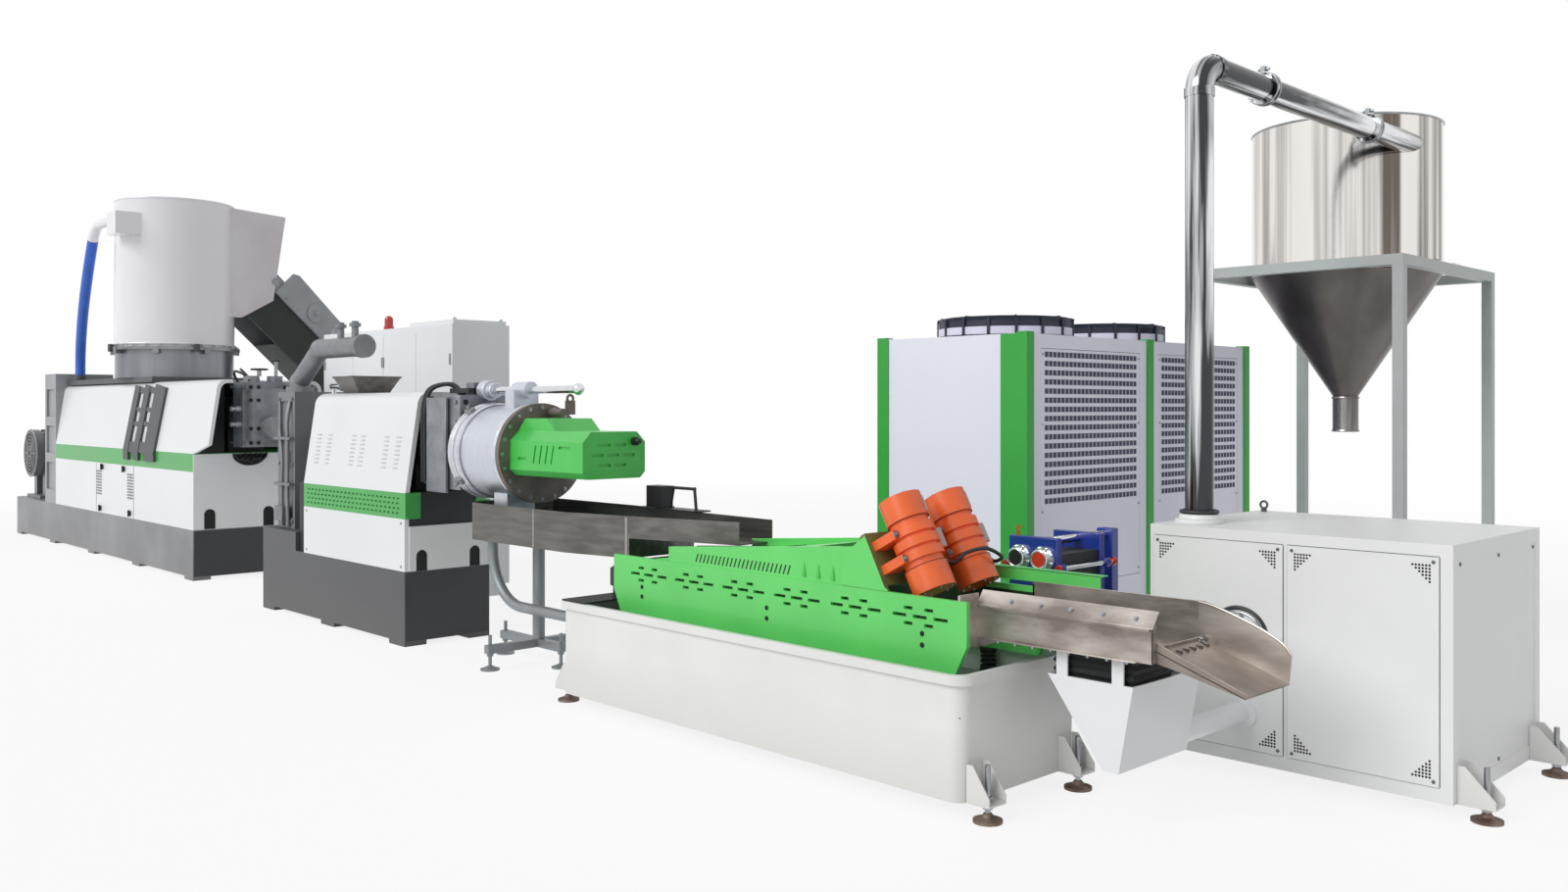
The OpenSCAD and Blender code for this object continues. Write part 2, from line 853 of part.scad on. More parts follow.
module control_cabinet() {
    doors = 4;
    gap = 8;
    door_w = (control_l - 40) / doors;
    color("#dcdfe1") {
        block([control_x + 20, control_y + 30, 0], [control_l - 40, control_d - 60, 101]);
        difference() {
            block([control_x, control_y, 100], [control_l, control_d, control_h - 100]);
            for (i = [1:doors - 1])
                block([control_x + 20 + i * door_w - gap / 2, control_y - bite, 140],
                    [gap, 6 + bite, control_h - 200]);
        }
        block([control_x + control_l - 760, control_y + 20, control_h - bite], [740, control_d - 40, 36]);
    }
}

module warning_beacon() {
    x = control_x + 1210;
    y = control_y + 60;
    color("#c62a2a")
        translate([x, y, control_h]) {
            cylinder(h = 30, r = 45);
            translate([0, 0, 29])
                cylinder(h = 60, r = 38);
            translate([0, 0, 88])
                sphere(r = 38);
        }
}

module ext2_base() {
    color("#5a5c5e") {
        block([ext2_x, ext2_y, pad_h], [ext2_base_l, ext2_w, ext2_base_h - pad_h]);
        block([ext2_x, ext2_y, pad_h], [ext2_step_l, ext2_w, ext2_step_h - pad_h]);
        floor_pads(ext2_x, ext2_base_l, ext2_y, ext2_w, 3);
    }
}

module ext2_lower_panel() {
    color("#eef0f2")
        for (y = [ext2_y, ext2_y + ext2_w - skin_t])
            block([ext2_house_x, y, ext2_base_h], [ext2_house_l, skin_t, ext2_panel_h]);
}

// Slotted band round the front, the end and the back
module ext2_stripe() {
    rows = 4;
    cols = 24;
    slot = [34, 12];
    pitch = (ext2_house_l - 120) / cols;
    color("#5fc262")
        difference() {
            union() {
                for (y = [ext2_y, ext2_y + ext2_w - skin_t])
                    block([ext2_house_x, y, ext2_panel_z], [ext2_house_l + 10, skin_t, ext2_stripe_h]);
                for (y = [ext2_y, ext2_y + ext2_w - 110])
                    block([ext2_end_x, y, ext2_panel_z], [10, 110, ext2_stripe_h]);
            }
            for (r = [0:rows - 1], c = [0:cols - 1])
                block([ext2_house_x + 60 + (c + 0.25 * (r % 2)) * pitch, ext2_y - bite,
                    ext2_panel_z + 30 + r * 33], [slot[0], 8 + bite, slot[1]]);
        }
}

module ext2_cover() {
    color("#f3f4f6")
        cover_shell(ext2_house_x, ext2_house_l, 10, ext2_y, ext2_w, ext2_stripe_z, ext2_cover_h);
}

// Second barrel on the dark box that the panels cover
module ext2_barrel() {
    x0 = ext2_x + ext2_step_l;
    color("#232427") {
        barrel(ext2_house_x + skin_t, changer2_x, ext2_mid_y, cutter_z, ext2_stripe_z - bite,
            barrel_r - 30);
        block([x0, ext2_y + skin_t, ext2_base_h],
            [ext2_end_x - x0, ext2_w - 2 * skin_t, ext2_stripe_z - ext2_base_h]);
    }
}

module ext2_gearbox() {
    y0 = ext2_y + 100;
    w = 440;
    color("#85888b") {
        difference() {
            block([column2_x, y0, ext2_step_h], [column2_l, w, ext2_column_h]);
            for (i = [0:1])
                block([column2_x + 40, y0 - bite, ext2_step_h + 80 + i * 520], [column2_l - 80, 20, 400]);
        }
        rod_x([column2_x + column2_l - bite, ext2_mid_y, cutter_z],
            ext2_house_x - column2_x - column2_l + bite, 110);
    }
}

module ext2_end_plate() {
    color("#c6c8c9")
        end_plate(ext2_end_x, ext2_y + skin_t, ext2_w - 2 * skin_t, ext2_base_h, 300, 84, 140, 90);
}

// Solid with rectangular ends of two sizes, centred on the z axis
module frustum(low, high, h) {
    corners = [[-0.5, -0.5], [0.5, -0.5], [0.5, 0.5], [-0.5, 0.5]];
    pts = concat([for (c = corners) [c[0] * low[0], c[1] * low[1], 0]],
        [for (c = corners) [c[0] * high[0], c[1] * high[1], h]]);
    polyhedron(pts, [[0, 1, 2, 3], [7, 6, 5, 4], [4, 5, 1, 0], [5, 6, 2, 1], [6, 7, 3, 2], [7, 4, 0, 3]]);
}

// Open trapezoid funnel on the cover
module feed_hopper() {
    low = [240, 240];
    high = [330, 380];
    t = 10;
    shrink = [2 * t, 2 * t];
    color("#a9acae")
        translate([ext2_house_x + 380, ext2_mid_y, ext2_top_z])
            difference() {
                frustum(low, high, hopper_h);
                translate([0, 0, t])
                    frustum(low - shrink, high - shrink, hopper_h);
            }
}

// Degassing pipe that rises from the gearbox column and runs on above the cover
module vent_pipe() {
    a = [column2_x + column2_l / 2, vent_y, column2_top];
    b = [a[0] + 385, vent_y, vent_z];
    run_l = 740;
    stub_h = 85;
    taps = [350, 590];
    color("#8f9296") {
        translate(a) {
            cylinder(h = 40, r = vent_r + 30);
            cylinder(h = stub_h, r = vent_r + 2);
        }
        rod(a + [0, 0, stub_h], b, vent_r - 2);
        for (p = [a + [0, 0, stub_h], b])
            translate(p)
                sphere(r = vent_r + 4);
        rod_x(b, run_l, vent_r);
        rod_x(b + [run_l - 40, 0, 0], 50, vent_r + 12);
        for (x = taps)
            rod(b + [x, 0, 0], b + [x, 0, 190], 26);
        for (x = taps)
            rod(b + [x, 0, 150], b + [x, 0, 175], 42);
    }
}

module ext2_screen_changer() {
    y0 = cutter_y - changer2_w / 2;
    color("#8a8d90") {
        block([changer2_x, y0 + 40, changer2_z + 60], [161, changer2_w - 80, changer2_h - 120]);
        block([changer2_x + 160, y0, changer2_z], [changer2_l - 160, changer2_w, changer2_h]);
        rod_x([changer2_x + changer2_l - bite, cutter_y, cutter_z], die_l + bite, die_r);
        block([guide_x, cutter_y - 60, changer2_z + changer2_h - bite],
            [rod_lug_l, 120, rod_z + 55 - changer2_z - changer2_h]);
    }
}

// Polished rod that carries the cutter head, with a ball at its end
module guide_rod() {
    color("#d5d8db") {
        rod_x([guide_x + rod_lug_l, cutter_y, rod_z], rod_end - guide_x - rod_lug_l, rod_d / 2);
        translate([rod_end, cutter_y, rod_z])
            sphere(r = 36);
    }
}

// Water chamber with flanges, its hanger on the guide rod and the outlet below
module water_chamber() {
    color("#d3d7de") {
        difference() {
            union() {
                rod_x([chamber_x, cutter_y, cutter_z], chamber_l, chamber_r - 12);
                rod_x([chamber_x, cutter_y, cutter_z], 36, chamber_r);
                rod_x([chamber_x + 60, cutter_y, cutter_z], 30, chamber_r);
                rod_x([chamber_end - 30, cutter_y, cutter_z], 30, chamber_r);
                block([hanger_x, cutter_y - 90, cutter_z], [hanger_l, 180, rod_z - cutter_z]);
                rod_x([hanger_x, cutter_y, rod_z], hanger_l + 60, hanger_r);
                block([hanger_x - 30, cutter_y - 150, trough_z - 50],
                    [150, 200, cutter_z - trough_z - 150]);
            }
            rod_x([chamber_x - bite, cutter_y, cutter_z], 200, chamber_r - 60);
            rod_x([hanger_x - bite, cutter_y, rod_z], hanger_l + 60 + 2 * bite, rod_d / 2 + rod_clear);
        }
    }
}

module cutter_disc() {
    color("#6c6967") {
        rod_x([chamber_end, cutter_y, cutter_z], disc_l, chamber_r + 4);
        rod_x([chamber_end + disc_l / 2, cutter_y + 60, cutter_z + 250], 160, 26);
    }
}

// Faceted drive hood with a raised hump and slots
module cutter_hood() {
    y0 = cutter_y - hood_w / 2 - 10;
    c = 60;
    b = 36;
    end_x = hood_x + hood_l;
    slot_t = 12;
    color("#47b44f")
        difference() {
            union() {
                along_x(hood_x, hood_l)
                    polygon([[y0 + b, hood_z], [y0 + hood_w - b, hood_z], [y0 + hood_w, hood_z + b],
                        [y0 + hood_w, hood_z + hood_h - c], [y0 + hood_w - c, hood_z + hood_h],
                        [y0 + c, hood_z + hood_h], [y0, hood_z + hood_h - c], [y0, hood_z + b]]);
                along_y(y0 + c, hood_w - 2 * c)
                    polygon([[hood_x, hood_z + hood_h - bite], [hood_x + 400, hood_z + hood_h - bite],
                        [hood_x + 310, hood_z + hood_h + 73], [hood_x + 80, hood_z + hood_h + 73]]);
            }
            for (i = [0:3])
                translate([hood_x + 250 + i * 62, y0 - bite, hood_z + 80])
                    rotate([0, 14, 0])
                        cube([14, slot_t, 110]);
            block([hood_x + 90, y0 - bite, hood_z + 96], [90, slot_t, 16]);
            block([hood_x + 520, y0 - bite, hood_z + 168], [110, slot_t, 16]);
            for (r = [0:2], k = [0:(r == 1 ? 2 : 1)])
                block([end_x - slot_t, y0 + 60 + (r == 1 ? 0 : 50) + k * 110, hood_z + 70 + r * 58],
                    [slot_t + bite, 84, 16]);
        }
}

// Outline of the trough, round end on the left and the outlet on the right
module trough_outline(inset) {
    w = trough_w / 2 - inset;
    o = outlet_w / 2 - inset;
    x1 = trough_x + trough_round_l;
    x2 = trough_x + trough_l - outlet_l;
    x3 = trough_x + trough_l - (inset > 0 ? -bite : 0);
    xl = trough_x + inset;
    c = 90;
    polygon([[xl + c, trough_y - w], [x1, trough_y - w], [x2, trough_y - w * 0.62 - 20 + inset * 0.3],
        [x3, outlet_y - o], [x3, outlet_y + o], [x2, trough_y + w * 0.86 + inset * 0.1],
        [x1, trough_y + w], [xl + c, trough_y + w], [xl, trough_y + w - c], [xl, trough_y - w + c]]);
}

module water_trough() {
    x2 = trough_x + trough_l - outlet_l;
    color("#9a9791")
        difference() {
            translate([0, 0, trough_low])
                linear_extrude(trough_depth)
                    trough_outline(0);
            translate([0, 0, trough_low + trough_t])
                intersection() {
                    linear_extrude(trough_depth)
                        trough_outline(trough_t);
                    block([trough_x, trough_y - trough_w, 0], [x2 - trough_x, 2 * trough_w, trough_depth]);
                }
            translate([0, 0, trough_z - outlet_depth + trough_t])
                linear_extrude(trough_depth)
                    trough_outline(trough_t);
            block([x2 + trough_t, trough_y - trough_w, trough_low - bite],
                [outlet_l + bite, 2 * trough_w, trough_depth - outlet_depth + bite]);
        }
}

module trough_stand() {
    beam_x = [stand_x - 414, stand_x + 270];
    beam_y = [trough_y - 442 + 70, trough_y + 305];
    color("#8f9497") {
        translate([stand_x, trough_y, stand_z])
            cylinder(h = trough_low - stand_z - 10 + bite, r = stand_d / 2);
        block([stand_x - 110, trough_y - 110, trough_low - 10], [220, 220, 10]);
        block([beam_x[0], trough_y - stand_beam / 2, stand_z - stand_beam + bite],
            [beam_x[1] - beam_x[0], stand_beam, stand_beam]);
        block([stand_x - stand_beam / 2, beam_y[0], stand_z - stand_beam + bite],
            [stand_beam, beam_y[1] - beam_y[0], stand_beam]);
        for (x = [beam_x[0] + 25, beam_x[1] - 25])
            leveller(x, trough_y, stand_z - stand_beam + 2);
        for (y = [beam_y[0] + 25, beam_y[1] - 25])
            leveller(stand_x, y, stand_z - stand_beam + 2);
    }
}

// Drain from the trough floor round into the end wall of the tank
module drain_pipe() {
    z = 380;
    color("#a3a8ab") {
        translate([drain_x, drain_y, z + drain_bend])
            cylinder(h = trough_low - z - drain_bend, r = drain_r);
        translate([drain_x, drain_y, trough_low - 12])
            cylinder(h = 12, r = drain_r + 22);
        translate([drain_x + drain_bend, drain_y, z + drain_bend])
            rotate([90, 180, 0])
                rotate_extrude(angle = 90, $fn = 96)
                    translate([drain_bend, 0])
                        circle(drain_r);
        rod_x([drain_x + drain_bend, drain_y, z], tank_x - drain_x - drain_bend, drain_r);
        rod_x([tank_x - 12, drain_y, z], 12, drain_r + 22);
    }
}

// Valve box and tube handle on the far rim of the trough
module trough_fittings() {
    x = trough_x + trough_round_l + 60;
    y = trough_y + trough_w / 2;
    hx = x + 220;
    color("#222327") {
        block([x, y - 120, trough_z], [160, 150, 12]);
        block([x + 5, y - 60, trough_z + 11], [140, 90, 122]);
        translate([hx - 30, y - 90, trough_z])
            cube([310, 110, 8]);
        rod([hx, y - 50, trough_z + 7], [hx + 30, y - 50, trough_z + 130], 9);
        rod([hx + 30, y - 50, trough_z + 130], [hx + 220, y - 50, trough_z + 130], 9);
        rod([hx + 220, y - 50, trough_z + 130], [hx + 235, y - 50, trough_z + 7], 9);
        for (p = [30, 220])
            translate([hx + p, y - 50, trough_z + 130])
                sphere(r = 11);
    }
}

module water_tank() {
    color("#eceded")
        difference() {
            union() {
                translate([tank_x, tank_y, tank_z])
                    linear_extrude(tank_h - tank_z)
                        round_rect(tank_l, tank_w, tank_round);
                translate([tank_x - rim_w, tank_y - rim_w, tank_h - rim_h])
                    linear_extrude(rim_h)
                        round_rect(tank_l + 2 * rim_w, tank_w + 2 * rim_w, tank_round + rim_w);
            }
            translate([tank_x + tank_t, tank_y + tank_t, tank_z + tank_t])
                linear_extrude(tank_h)
                    round_rect(tank_l - 2 * tank_t, tank_w - 2 * tank_t, tank_round - tank_t);
        }
}

module foot_bracket(x, y, dir, z) {
    block([dir > 0 ? x : x - 110, y - 55, z], [110, 110, 10]);
    along_y(y - 50, 10)
        polygon([[x, z + 9], [x + dir * 100, z + 9], [x, z + 120]]);
}

// Pump on a cover plate that lies across the tank walls at the left end
module tank_pump() {
    x = tank_x + 120;
    y = tank_y + 370;
    color("#1d1e21") {
        block([tank_x + 20, tank_y - 10, tank_h], [screen_in - 50, tank_w + 20, 8]);
        translate([x, y, tank_h + 7])
            cylinder(h = 150, r = pump_r - 15);
        translate([x, y, tank_h + 60])
            cylinder(h = 90, r = pump_r);
        translate([x, y, tank_h + 149])
            cylinder(h = 30, r1 = pump_r, r2 = pump_r - 40);
    }
}

// Slot group: a row of two, a row of three and a row of two
module slot_group(x, z, y, depth) {
    for (r = [0:2], k = [0:(r == 1 ? 2 : 1)])
        block([x + (r == 1 ? 0 : 62) + k * 110, y, z + r * 32], [r == 1 ? 74 : 46, depth, 14]);
}

module screen_side(y, top) {
    cut = 115;
    difference() {
        along_y(y, screen_t)
            polygon(concat([[screen_x + cut / 2, screen_z], [screen_end - cut / 2, screen_z],
                [screen_end, screen_z + cut]], top, [[screen_x, screen_z + cut]]));
        for (i = [0:5])
            slot_group(screen_x + 150 + i * 362, screen_top - 125, y - bite, screen_t + 2 * bite);
    }
}

module screen_panels() {
    near_top = [[screen_end, screen_top], [screen_x, screen_top]];
    far_top = [[screen_end, screen_top], [shaker_plate_x - 200, screen_top],
        [screen_x + deck_l + 10, deck_z1 + 30], [screen_x + 620, screen_top + 46], [screen_x, screen_top]];
    color("#57c25c") {
        screen_side(screen_near - screen_t, near_top);
        screen_side(screen_far, far_top);
    }
}

// Sloping deck with gusset ribs where it rises over the near panel
module screen_deck() {
    grade = (deck_z1 - deck_z0) / deck_l;
    ribs = [850, 980, 1110];
    color("#4fb956") {
        along_y(screen_near, screen_w)
            polygon([[screen_x + 20, deck_z0], [screen_x + deck_l, deck_z1],
                [screen_x + deck_l, deck_z1 + deck_t],
                [screen_x + 20, deck_z0 + deck_t]]);
        for (x = ribs)
            along_x(screen_x + x, 14)
                polygon([[screen_near + 10, deck_z0 + grade * x + deck_t - 5],
                    [screen_near + 80, deck_z0 + grade * x + deck_t - 5],
                    [screen_near + 10, deck_z0 + grade * x + deck_t + 70]]);
    }
}

// Four spring posts on the tank floor, under the panels
module screen_springs() {
    cap_t = 12;
    turns = 4;
    pitch = (screen_z - cap_t - spring_low) / turns;
    color("#3a3c40")
        for (x = [screen_x + 330, screen_end - 330], y = [screen_near - screen_t / 2,
            screen_far + screen_t / 2])
            translate([x, y, 0]) {
                translate([0, 0, tank_z + tank_t])
                    cylinder(h = spring_low - tank_z - tank_t, r = spring_r);
                translate([0, 0, spring_low - bite])
                    cylinder(h = screen_z - cap_t - spring_low + 2 * bite, r = spring_r - 18);
                for (k = [0:turns - 1])
                    translate([0, 0, spring_low + (k + 0.25) * pitch])
                        cylinder(h = pitch / 2, r = spring_r - 4);
                translate([0, 0, screen_z - cap_t])
                    cylinder(h = cap_t, r = spring_r);
            }
}

// Steep plate across the screen with two cheeks down to the panels
module shaker_mount() {
    u = [-cos(shaker_slope), sin(shaker_slope)];
    n = [sin(shaker_slope), cos(shaker_slope)];
    p = [shaker_plate_x, shaker_plate_z];
    h = shaker_plate_l / 2;
    foot = [for (s = [0, -shaker_plate_t]) p - u * h + n * s];
    head = [for (s = [-shaker_plate_t, 0]) p + u * h + n * s];
    color("#7f8a58") {
        along_y(screen_near - screen_t, screen_w + 2 * screen_t)
            polygon(concat(foot, head));
        for (y = [screen_near - screen_t, screen_far])
            along_y(y, screen_t)
                polygon([[p[0] - 190, screen_top], [p[0] + 74, screen_top], foot[0], head[1], head[0]]);
    }
}

// Two vibrating motors, each with end caps, feet and a terminal box
module shaker_motors() {
    cap = 110;
    color("#ef6a28")
        for (s = [-1, 1])
            translate([shaker_plate_x, screen_mid + s * shaker_gap / 2, shaker_plate_z])
                rotate([0, shaker_slope - 90, 0]) {
                    translate([shaker_off, 0, -shaker_l / 2])
                        cylinder(h = cap, r = shaker_r);
                    translate([shaker_off, 0, shaker_l / 2 - cap])
                        cylinder(h = cap, r = shaker_r);
                    translate([shaker_off, 0, -shaker_l / 2 + cap - bite])
                        cylinder(h = shaker_l - 2 * cap + 2 * bite, r = shaker_r - 8);
                    for (z = [-75, 35])
                        block([0, -shaker_r - 25, z], [shaker_off, 2 * shaker_r + 50, 40]);
                    for (z = [-75, -20, 35])
                        translate([shaker_off, 0, z])
                            cylinder(h = 40, r = shaker_r + 6);
                    block([shaker_off - 20, shaker_r - 20, -40], [70, 55, 90]);
                }
}

// Channel from the screen to the spout, with a drop hole over the pellet hopper
module discharge_trough() {
    y0 = discharge_mid - discharge_w / 2;
    x0 = screen_end - 60;
    len = discharge_l + 60;
    spout_l = 360;
    spout_w = 345;
    t = discharge_t;
    color("#a8a097") {
        difference() {
            union() {
                block([x0, y0, discharge_z], [len, discharge_w, discharge_h]);
                block([x0, y0 - 8, discharge_z + 105], [len, discharge_w + 16, 14]);
            }
            block([x0 - bite, y0 + t, discharge_z + t],
                [len + 2 * bite, discharge_w - 2 * t, discharge_h]);
            block([pellet_x + 40, y0 + 60, discharge_z - bite],
                [pellet_l - 80, discharge_w - 120, t + 2 * bite]);
        }
        difference() {
            block([x0, screen_near, discharge_z - 40], [10, screen_w, discharge_h + 30]);
            block([x0 - bite, y0 + t, discharge_z + t],
                [10 + 2 * bite, discharge_w - 2 * t, discharge_h + 60]);
        }
        translate([x0 + len - 12, y0 + (discharge_w - spout_w) / 2, discharge_z + 2])
            rotate([0, 12, 0])
                difference() {
                    cube([spout_l, spout_w, discharge_h - 20]);
                    translate([-bite, t, t])
                        cube([spout_l + 2 * bite, spout_w - 2 * t, discharge_h]);
                }
        for (y = [y0, y0 + discharge_w - (discharge_w - spout_w) / 2])
            block([x0 + len - t, y, discharge_z], [t, (discharge_w - spout_w) / 2, discharge_h]);
    }
}

module funnel(grow) {
    hull() {
        block([pellet_x - grow, pellet_y - grow, pellet_z], [pellet_l + 2 * grow, pellet_w + 2 * grow, 1]);
        block([pellet_x + 245 - grow, pellet_y - grow, pellet_low - grow],
            [70 + 2 * grow, pellet_w + 2 * grow, 1]);
    }
}

module pellet_hopper() {
    t = 8;
    tab_w = 50;
    x = pellet_x + suction_in;
    door_y = blower_y - door_t;
    color("#e8e9ea") {
        difference() {
            funnel(0);
            funnel(-t);
            block([pellet_x + t, pellet_y + t, pellet_z], [pellet_l - 2 * t, pellet_w - 2 * t, 10]);
        }
        for (tab_x = [pellet_x + 40, pellet_x + pellet_l - 40 - tab_w])
            block([tab_x, pellet_y, pellet_z - bite], [tab_w, t, discharge_z - pellet_z + bite]);
        rod([x, pellet_y + pellet_w - 60, suction_z], [x, door_y, suction_z], 45);
        rod([x, door_y - 14, suction_z], [x, door_y, suction_z], 75);
    }
}

module chiller_body() {
    in = 12;
    color("#e4e3f2") {
        difference() {
            block([chiller_x + in, chiller_y + in, 0],
                [chiller_w - 2 * in, chiller_d - 2 * in, chiller_h]);
            for (y = [chiller_y + 150, chiller_y + chiller_d / 2 + 110])
                block([chiller_x + chiller_w - in - 25, y, 560],
                    [26, chiller_d / 2 - 260, chiller_h - 640]);
        }
    }
}

module chiller_posts() {
    in = 12;
    color("#43a24b")
        for (y = [chiller_y, chiller_y + chiller_d / 2 - post_w / 2, chiller_y + chiller_d - post_w],
            x = [chiller_x, chiller_x + chiller_w - post_w])
            difference() {
                block([x, y, 0], [post_w, post_w, chiller_h + 10]);
                block([chiller_x + in, chiller_y + in, -bite],
                    [chiller_w - 2 * in, chiller_d - 2 * in, chiller_h + bite]);
            }
}

// Open cowls with a cross guard, motor hub and blades
module chiller_fans() {
    x = chiller_x + chiller_w / 2;
    color("#1b1d2a")
        for (y = [chiller_y + 564, chiller_y + 1644])
            translate([x, y, chiller_h]) {
                rotate_extrude($fn = 96)
                    polygon([[fan_r - 14, 0], [fan_r + 14, 0], [fan_r, 30], [fan_r, fan_h - 20],
                        [fan_r + 10, fan_h],
                        [fan_r - 14, fan_h]]);
                for (a = [0:30:150])
                    rotate(a)
                        block([-fan_r + 6, -5, fan_h - 12], [2 * fan_r - 12, 10, 8]);
                for (r = [140, 230, 320])
                    rotate_extrude($fn = 96)
                        translate([r, fan_h - 12])
                            square([8, 10]);
                translate([0, 0, 30])
                    cylinder(h = fan_h - 25, r = 90);
                for (i = [0:4])
                    rotate(i * 72)
                        translate([60, 0, 55])
                            rotate([28, 0, 0])
                                block([0, -60, -3], [fan_r - 95, 120, 6]);
            }
}

// Head plate with ports, follower, carrying bars, tie rods and end column
module exchanger_frame() {
    x = exchanger_x;
    y = exchanger_y;
    w = exchanger_w;
    h = exchanger_h;
    rear_y = y + exchanger_head + exchanger_pack;
    col_y = rear_y + 250;
    mid = x + w / 2;
    color("#26398f") {
        block([x, y, 0], [w, exchanger_head, h]);
        block([x, rear_y, 60], [w, 34, h - 60]);
        block([mid - 45, col_y, 0], [90, 60, h]);
        for (z = [h - 30, 90])
            rod([mid, y + 5, z], [mid, col_y + 10, z], 22);
        for (p = [0.27, 0.73], z = [h - 170, 260])
            rod([x + w * p, y - 50, z], [x + w * p, y + 10, z], 42);
        for (p = [-14, w + 14], z = [180, h / 2, h - 140]) {
            rod([x + p, y + 8, z], [x + p, rear_y + 70, z], 11);
            for (q = [y, rear_y])
                block([x + p - 20, q + 4, z - 20], [40, 26, 40]);
        }
    }
}

module exchanger_plates() {
    color("#1b1c20")
        block([exchanger_x + 12, exchanger_y + exchanger_head, 140],
            [exchanger_w - 24, exchanger_pack, exchanger_h - 220]);
}

module blower_cabinet() {
    color("#e9eaea")
        difference() {
            block([blower_x, blower_y, blower_z], [blower_l, blower_d, blower_h - blower_z]);
            block([blower_end_x - 4, blower_y + 60, blower_z + 60],
                [4 + bite, blower_d - 120, blower_h - blower_z - 120]);
        }
}

module blower_doors() {
    gap = 20;
    w = (blower_l - 3 * gap - 30) / 2;
    color("#f0f1f1")
        for (i = [0:1])
            block([blower_x + gap + i * (w + gap), blower_y - door_t, blower_z + 60],
                [w, door_t, blower_h - blower_z - 110]);
}

// Feet of the water tank and of the blower cabinet
module levelling_feet() {
    color("#9b9c9c") {
        for (y = [tank_y + foot_in, tank_y + tank_w - foot_in]) {
            foot_bracket(tank_end_x, y, 1, tank_z);
            leveller(tank_end_x + 62, y, tank_z);
            foot_bracket(tank_x, y, -1, tank_z);
            leveller(tank_x - 62, y, tank_z);
        }
        for (y = [blower_y + foot_in, blower_y + blower_d - foot_in]) {
            foot_bracket(blower_end_x, y, 1, blower_z);
            leveller(blower_end_x + 92, y, blower_z);
            foot_bracket(blower_x, y, -1, blower_z);
            leveller(blower_x - 62, y, blower_z);
        }
    }
}

// Riser on the cabinet, elbow and run into the side of the silo
module conveying_pipe() {
    color("#c9cbcd") {
        translate([pipe_x, pipe_y, blower_h]) {
            cylinder(h = 16, r = pipe_r + 36);
            cylinder(h = 40, r = pipe_r + 12);
            cylinder(h = pipe_z - blower_h - pipe_bend, r = pipe_r);
        }
        translate([pipe_x, pipe_y + pipe_bend, pipe_z - pipe_bend])
            rotate([90, 0, -90])
                rotate_extrude(angle = 90, $fn = 96)
                    translate([pipe_bend, 0])
                        circle(pipe_r);
        rod([pipe_x, pipe_y + pipe_bend, pipe_z], [pipe_x, pipe_end_y, pipe_z], pipe_r);
        translate([pipe_x, pipe_y, pipe_z - pipe_bend - seam_l])
            cylinder(h = 2 * seam_l, r = pipe_r + seam_t);
        rod([pipe_x, pipe_y + pipe_bend - seam_l, pipe_z], [pipe_x, pipe_y + pipe_bend + seam_l, pipe_z],
            pipe_r + seam_t);
        for (y = [pipe_y + 632, pipe_y + 1922])
            rod([pipe_x, y, pipe_z], [pipe_x, y + 40, pipe_z], pipe_r + 14);
    }
}

module silo_frame() {
    t = frame_t;
    color("#a9b0af") {
        for (x = [silo_x, silo_x + frame_l - t], y = [silo_y, silo_y + frame_d - t])
            block([x, y, 0], [t, t, frame_h]);
        for (y = [silo_y, silo_y + frame_d - t])
            block([silo_x, y, frame_h - t], [frame_l, t, t]);
        for (x = [silo_x, silo_x + frame_l - t])
            block([x, silo_y, frame_h - t], [t, frame_d, t]);
    }
}

// Shell hung on four lugs, with the pipe inlet in its side
module silo_shell() {
    color("#c6c3bf")
        difference() {
            translate([silo_mid_x, silo_mid_y, 0]) {
                rotate_extrude($fn = fine)
                    translate([silo_r - silo_t, silo_low])
                        square([silo_t, silo_top - silo_low]);
                for (s = [-1, 1], y = [-150, 150])
                    difference() {
                        block([s > 0 ? silo_r - 60 : -silo_r - 60, y - 50, frame_h], [120, 100, 12]);
                        translate([0, 0, frame_h - bite])
                            cylinder(h = 20, r = silo_r - silo_t / 2, $fn = fine);
                    }
            }
            rod([pipe_x, pipe_end_y - 400, pipe_z], [pipe_x, pipe_end_y + 20, pipe_z], pipe_r + eps);
        }
}

// Cone under the shell with the outlet stub
module silo_cone() {
    low = silo_low - cone_h;
    color("#8b8683")
        translate([silo_mid_x, silo_mid_y, 0])
            rotate_extrude($fn = fine)
                polygon([[silo_r, silo_low], [silo_r - silo_t, silo_low], [stub_r - silo_t, low],
                    [stub_r - silo_t, low - stub_h], [stub_r, low - stub_h], [stub_r, low]]);
}

ext1_base();
ext1_lower_panel();
ext1_stripe();
ext1_cover();
ext1_barrel();
ext1_end_plate();
ext1_vent_bars();
ext1_gearbox();
ext1_motor();
ext1_screen_changer();
compactor_platform();
compactor_neck();
compactor_drum();
compactor_lid();
feed_chute();
suction_duct();
suction_hose();
conveyor_frame();
conveyor_belt();
control_cabinet();
warning_beacon();
ext2_base();
ext2_lower_panel();
ext2_stripe();
ext2_cover();
ext2_barrel();
ext2_gearbox();
ext2_end_plate();
feed_hopper();
vent_pipe();
ext2_screen_changer();
guide_rod();
water_chamber();
cutter_disc();
cutter_hood();
water_trough();
trough_stand();
drain_pipe();
trough_fittings();
water_tank();
tank_pump();
screen_panels();
screen_deck();
screen_springs();
shaker_mount();
shaker_motors();
discharge_trough();
pellet_hopper();
chiller_body();
chiller_posts();
chiller_fans();
exchanger_frame();
exchanger_plates();
blower_cabinet();
blower_doors();
levelling_feet();
conveying_pipe();
silo_frame();
silo_shell();
silo_cone();
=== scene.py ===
import math

import bmesh
import bpy
from mathutils import Matrix, Vector


